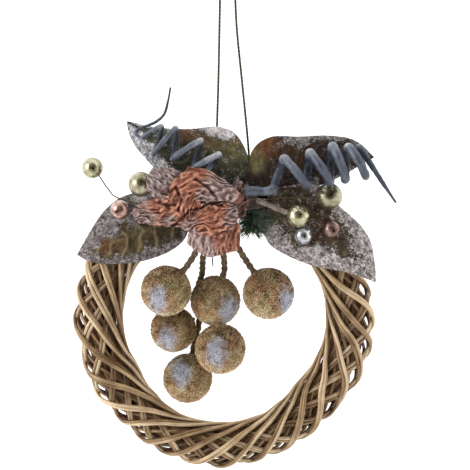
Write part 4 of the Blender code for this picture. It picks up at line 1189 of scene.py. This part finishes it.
def make_ball(number, look):
    """A ball crusted with granules, which stand proud of the gaps between them; the gaps and the
    ball's top are painted darker as shade, its bottom lighter.
    """
    name = f"glitter_ball_{number}"
    place, radius, patch = BALLS[number]
    random = np.random.default_rng(number)
    shape = bmesh.new()
    tone, frost, hue = (shape.verts.layers.float.new(mark) for mark in ("tone", "frost", "hue"))
    for direction in granule_directions(BALL_GRANULES, random):
        shape.verts.new(direction)
    bmesh.ops.convex_hull(shape, input=shape.verts[:])
    granules = len(shape.verts)
    bmesh.ops.subdivide_edges(shape, edges=shape.edges[:], cuts=1, use_grid_fill=True)
    middle = Vector(spot(*place))
    for index, vert in enumerate(shape.verts):
        direction = vert.co.normalized()
        dice = random.uniform(0, 1, 4)
        patches = noise(direction * 4.0 + Vector((number * 3.0, 0, 0)))
        # Painted shade: darker towards the ball's top, lighter towards its bottom, over soft
        # mottling
        shade = 0.06 + 0.12 * patches - 0.19 * direction.z
        if index < granules:
            height = radius + 0.2 + dice[0] ** 2 * 0.9
            vert[tone] = 0.2 + 0.85 * dice[1] + shade
        else:
            # The gaps between granules get low values: painted shade in the gaps
            height = radius - 0.1 - dice[0] * 0.5
            vert[tone] = 0.40 * dice[1] + shade
        areas = noise(direction * 2.2 + Vector((0, number, 0)))
        vert[hue] = 0.6 * dice[2] + 0.2 + 0.4 * areas
        share = frosted(direction, patch) + patches * 0.45 + (dice[3] - 0.5) * 0.45
        vert[frost] = max(0.0, min(1.0, share))
        vert.co = middle + direction * height * MM
    bmesh.ops.recalc_face_normals(shape, faces=shape.faces)
    mesh = bpy.data.meshes.new(name + "_crust")
    shape.to_mesh(mesh)
    shape.free()
    dress(name + "_crust", mesh, look, name)


def lathe(middle, axis, profile):
    """Vertices and faces of a profile of (radius, height) turned round the axis."""
    side = unit(np.cross(axis, (0.3, 0.1, 1.0)))
    angles = TURN * np.arange(BEAD_SIDES) / BEAD_SIDES
    ring = np.outer(np.cos(angles), side) + np.outer(np.sin(angles), np.cross(axis, side))
    radii, heights = profile.T[:, :, None, None]
    verts = (middle + axis * heights + ring * radii).reshape(-1, 3)
    # Each end of the profile is a single point
    verts = verts[BEAD_SIDES - 1:1 - BEAD_SIDES]
    quads = 1 + grid_quads(len(profile) - 2, BEAD_SIDES, False, True)
    last = len(verts) - 1
    faces = np.roll(quads[:, ::-1], 1, 1).tolist()
    for step in range(BEAD_SIDES):
        after = (step + 1) % BEAD_SIDES
        faces.append((0, 1 + step, 1 + after))
        faces.append((last, last - BEAD_SIDES + after, last - BEAD_SIDES + step))
    return verts, faces


def make_bead(name):
    place, radius, (right, front, up), brightness = BEADS[name]
    kind = name.rsplit("_", 1)[0]
    lip = math.asin((HOLE_RADIUS + 0.35) / radius)
    profile = [(0, radius * 0.7), (HOLE_RADIUS * 0.9, radius * 0.7),
               (HOLE_RADIUS, radius * 0.9), (HOLE_RADIUS + 0.08, radius * 0.985),
               (HOLE_RADIUS + 0.22, radius * 1.0)]
    for step in range(BEAD_ROWS):
        angle = lip + (math.pi - lip) * step / BEAD_ROWS
        profile.append((radius * math.sin(angle), radius * math.cos(angle)))
    profile.append((0, -radius))
    axis = unit(np.array((right, -front, up), float))
    shape = lathe(spot(*place), axis, np.array(profile) * MM)
    hole = np.arange(len(shape[0])) <= BEAD_SIDES * 2
    across = unit(shape[0] - spot(*place))
    # How far round from the hole, for the painted reflection
    ring = np.arccos(np.clip(across @ axis, -1, 1)) / math.pi
    tones = [tuple(brightness * part for part in tone) for tone in BEAD_COLOURS[kind]]
    look = bead_look(name + "_look", 0.16 if brightness > 0.7 else 0.28, tones)
    make_piece(name + "_pearl", shape, look, kind, name, hole=hole, ring=ring)


def make_bar(name, node, route, size, look, relief, ends=0.6):
    """A bar along the route, with its two ends drawn in a little."""
    radius, step, sides = size
    path = smooth_path(route, step * MM)
    radii = np.full(len(path), radius * MM)
    radii[[0, -1]] *= ends
    make_piece(name, sweep(path, radii, sides, relief=relief), look, "stem", node)


def meeting(point, ball):
    """Where a stem or wire that comes from the point goes into the ball or bead."""
    place, radius = ball[:2]
    middle = spot(*place)
    return middle + unit(point - middle) * radius * MM * MEETING_SHARE


def make_stems():
    look = wrapped_look("stem_look", (0.035, 0.020, 0.009), (0.135, 0.085, 0.045),
                        (0.36, 0.26, 0.15))
    for name, places in BALL_STEMS.items():
        route = spots(places)
        route = np.vstack((route, meeting(route[-1], BALLS[int(name[-1])])))
        size = STEM_SIZE if "stem" in name else TWIG_SIZE
        make_bar(name + "_wrapped", name, route, size, look, twist(2, 0.24, 9 * MM))
    look = wrapped_look("tape_look", (0.03, 0.02, 0.012), (0.10, 0.07, 0.04),
                        (0.22, 0.16, 0.10))
    path = np.linspace(*spots(BUNDLE_ENDS), BUNDLE_STEPS)
    share = np.linspace(-1, 1, len(path))
    radii = (BUNDLE_RADIUS + (BUNDLE_END_RADIUS - BUNDLE_RADIUS) * share ** 4) * MM
    shape = sweep(path, radii, BUNDLE_SIDES, relief=wraps(0.12, 5 * MM))
    make_piece("stem_bundle_taped", shape, look, "stem", "stem_bundle")
    look = wrapped_look("pink_tape_look", (0.13, 0.09, 0.075), (0.34, 0.26, 0.225),
                        (0.60, 0.50, 0.45), roughness=0.45, metallic=0.2)
    route = spots(WRAPPED_STEM)
    route = np.vstack((route, meeting(route[-1], BEADS["bead_gold_4"])))
    make_bar("wrapped_stem_tape", "wrapped_stem", route, WRAPPED_SIZE, look,
             wraps(0.16, 2.6 * MM), 0.8)


def make_wires():
    look = wrapped_look("wire_look", (0.03, 0.02, 0.012), (0.14, 0.09, 0.05),
                        (0.34, 0.24, 0.14), roughness=0.4, metallic=0.4)
    for name, (bead, *places) in WIRES.items():
        route = spots(places)
        if bead:
            route = np.vstack((meeting(route[0], BEADS[bead]), route))
        make_bar(name + "_thread", name, route, WIRE_SIZE, look, twist(2, 0.3, 2.4 * MM))


def make_sprig():
    """A twig with fine needles all round it, which lean down and forward."""
    random = np.random.default_rng(12)
    twig = spots([SPRIG_TOP + SPRIG_REACH * share for share in np.linspace(0, 1, 12)])
    parts = [(0.2, sweep(twig, TWIG_RADIUS, 8, relief=twist(3, 0.3, 4 * MM)))]
    steps = np.linspace(0, 1, 6)
    for index in range(NEEDLES):
        share = (index + 0.5) / NEEDLES
        angle = 2.4 * index + random.uniform(-0.4, 0.4)
        lean = random.uniform(0.0, 0.8)
        direction = (math.cos(angle) - 0.1, math.sin(angle) * 0.55 + 0.25, -lean)
        length = NEEDLE_LENGTH * random.uniform(0.7, 1.0)
        sag = random.uniform(0.3, 1.2)
        if index % LONG_NEEDLE_EVERY == 0:
            direction = (1.0, 0.2 + 0.2 * share, 0.35 - random.uniform(0, 0.5))
            length = LONG_NEEDLE * random.uniform(0.7, 1.0)
            sag = random.uniform(2.5, 6.0)
        reach = unit(np.array(direction)) * length
        start = SPRIG_TOP + SPRIG_REACH * share
        path = spots([start + reach * step - (0, 0, sag * step ** 2) for step in steps])
        radii = (0.34 - 0.26 * steps ** 1.5) * MM
        parts.append((random.uniform(0, 1), sweep(path, radii, 5)))
    make_joined("sprig_needles", parts, needle_look(), "needle", "pine_sprig")


make_camera()
make_cord()
make_studio()
make_canes()
for leaf in LEAVES:
    make_leaf(leaf)
for petal in PETALS:
    make_petal(petal)
blue = tendril_look()
make_tendril("left", TENDRIL_LEFT, blue)
make_tendril("right", TENDRIL_RIGHT, blue)
crust = ball_look()
for ball in BALLS:
    make_ball(ball, crust)
for bead in BEADS:
    make_bead(bead)
make_stems()
make_wires()
make_sprig()

bpy.context.view_layer.update()
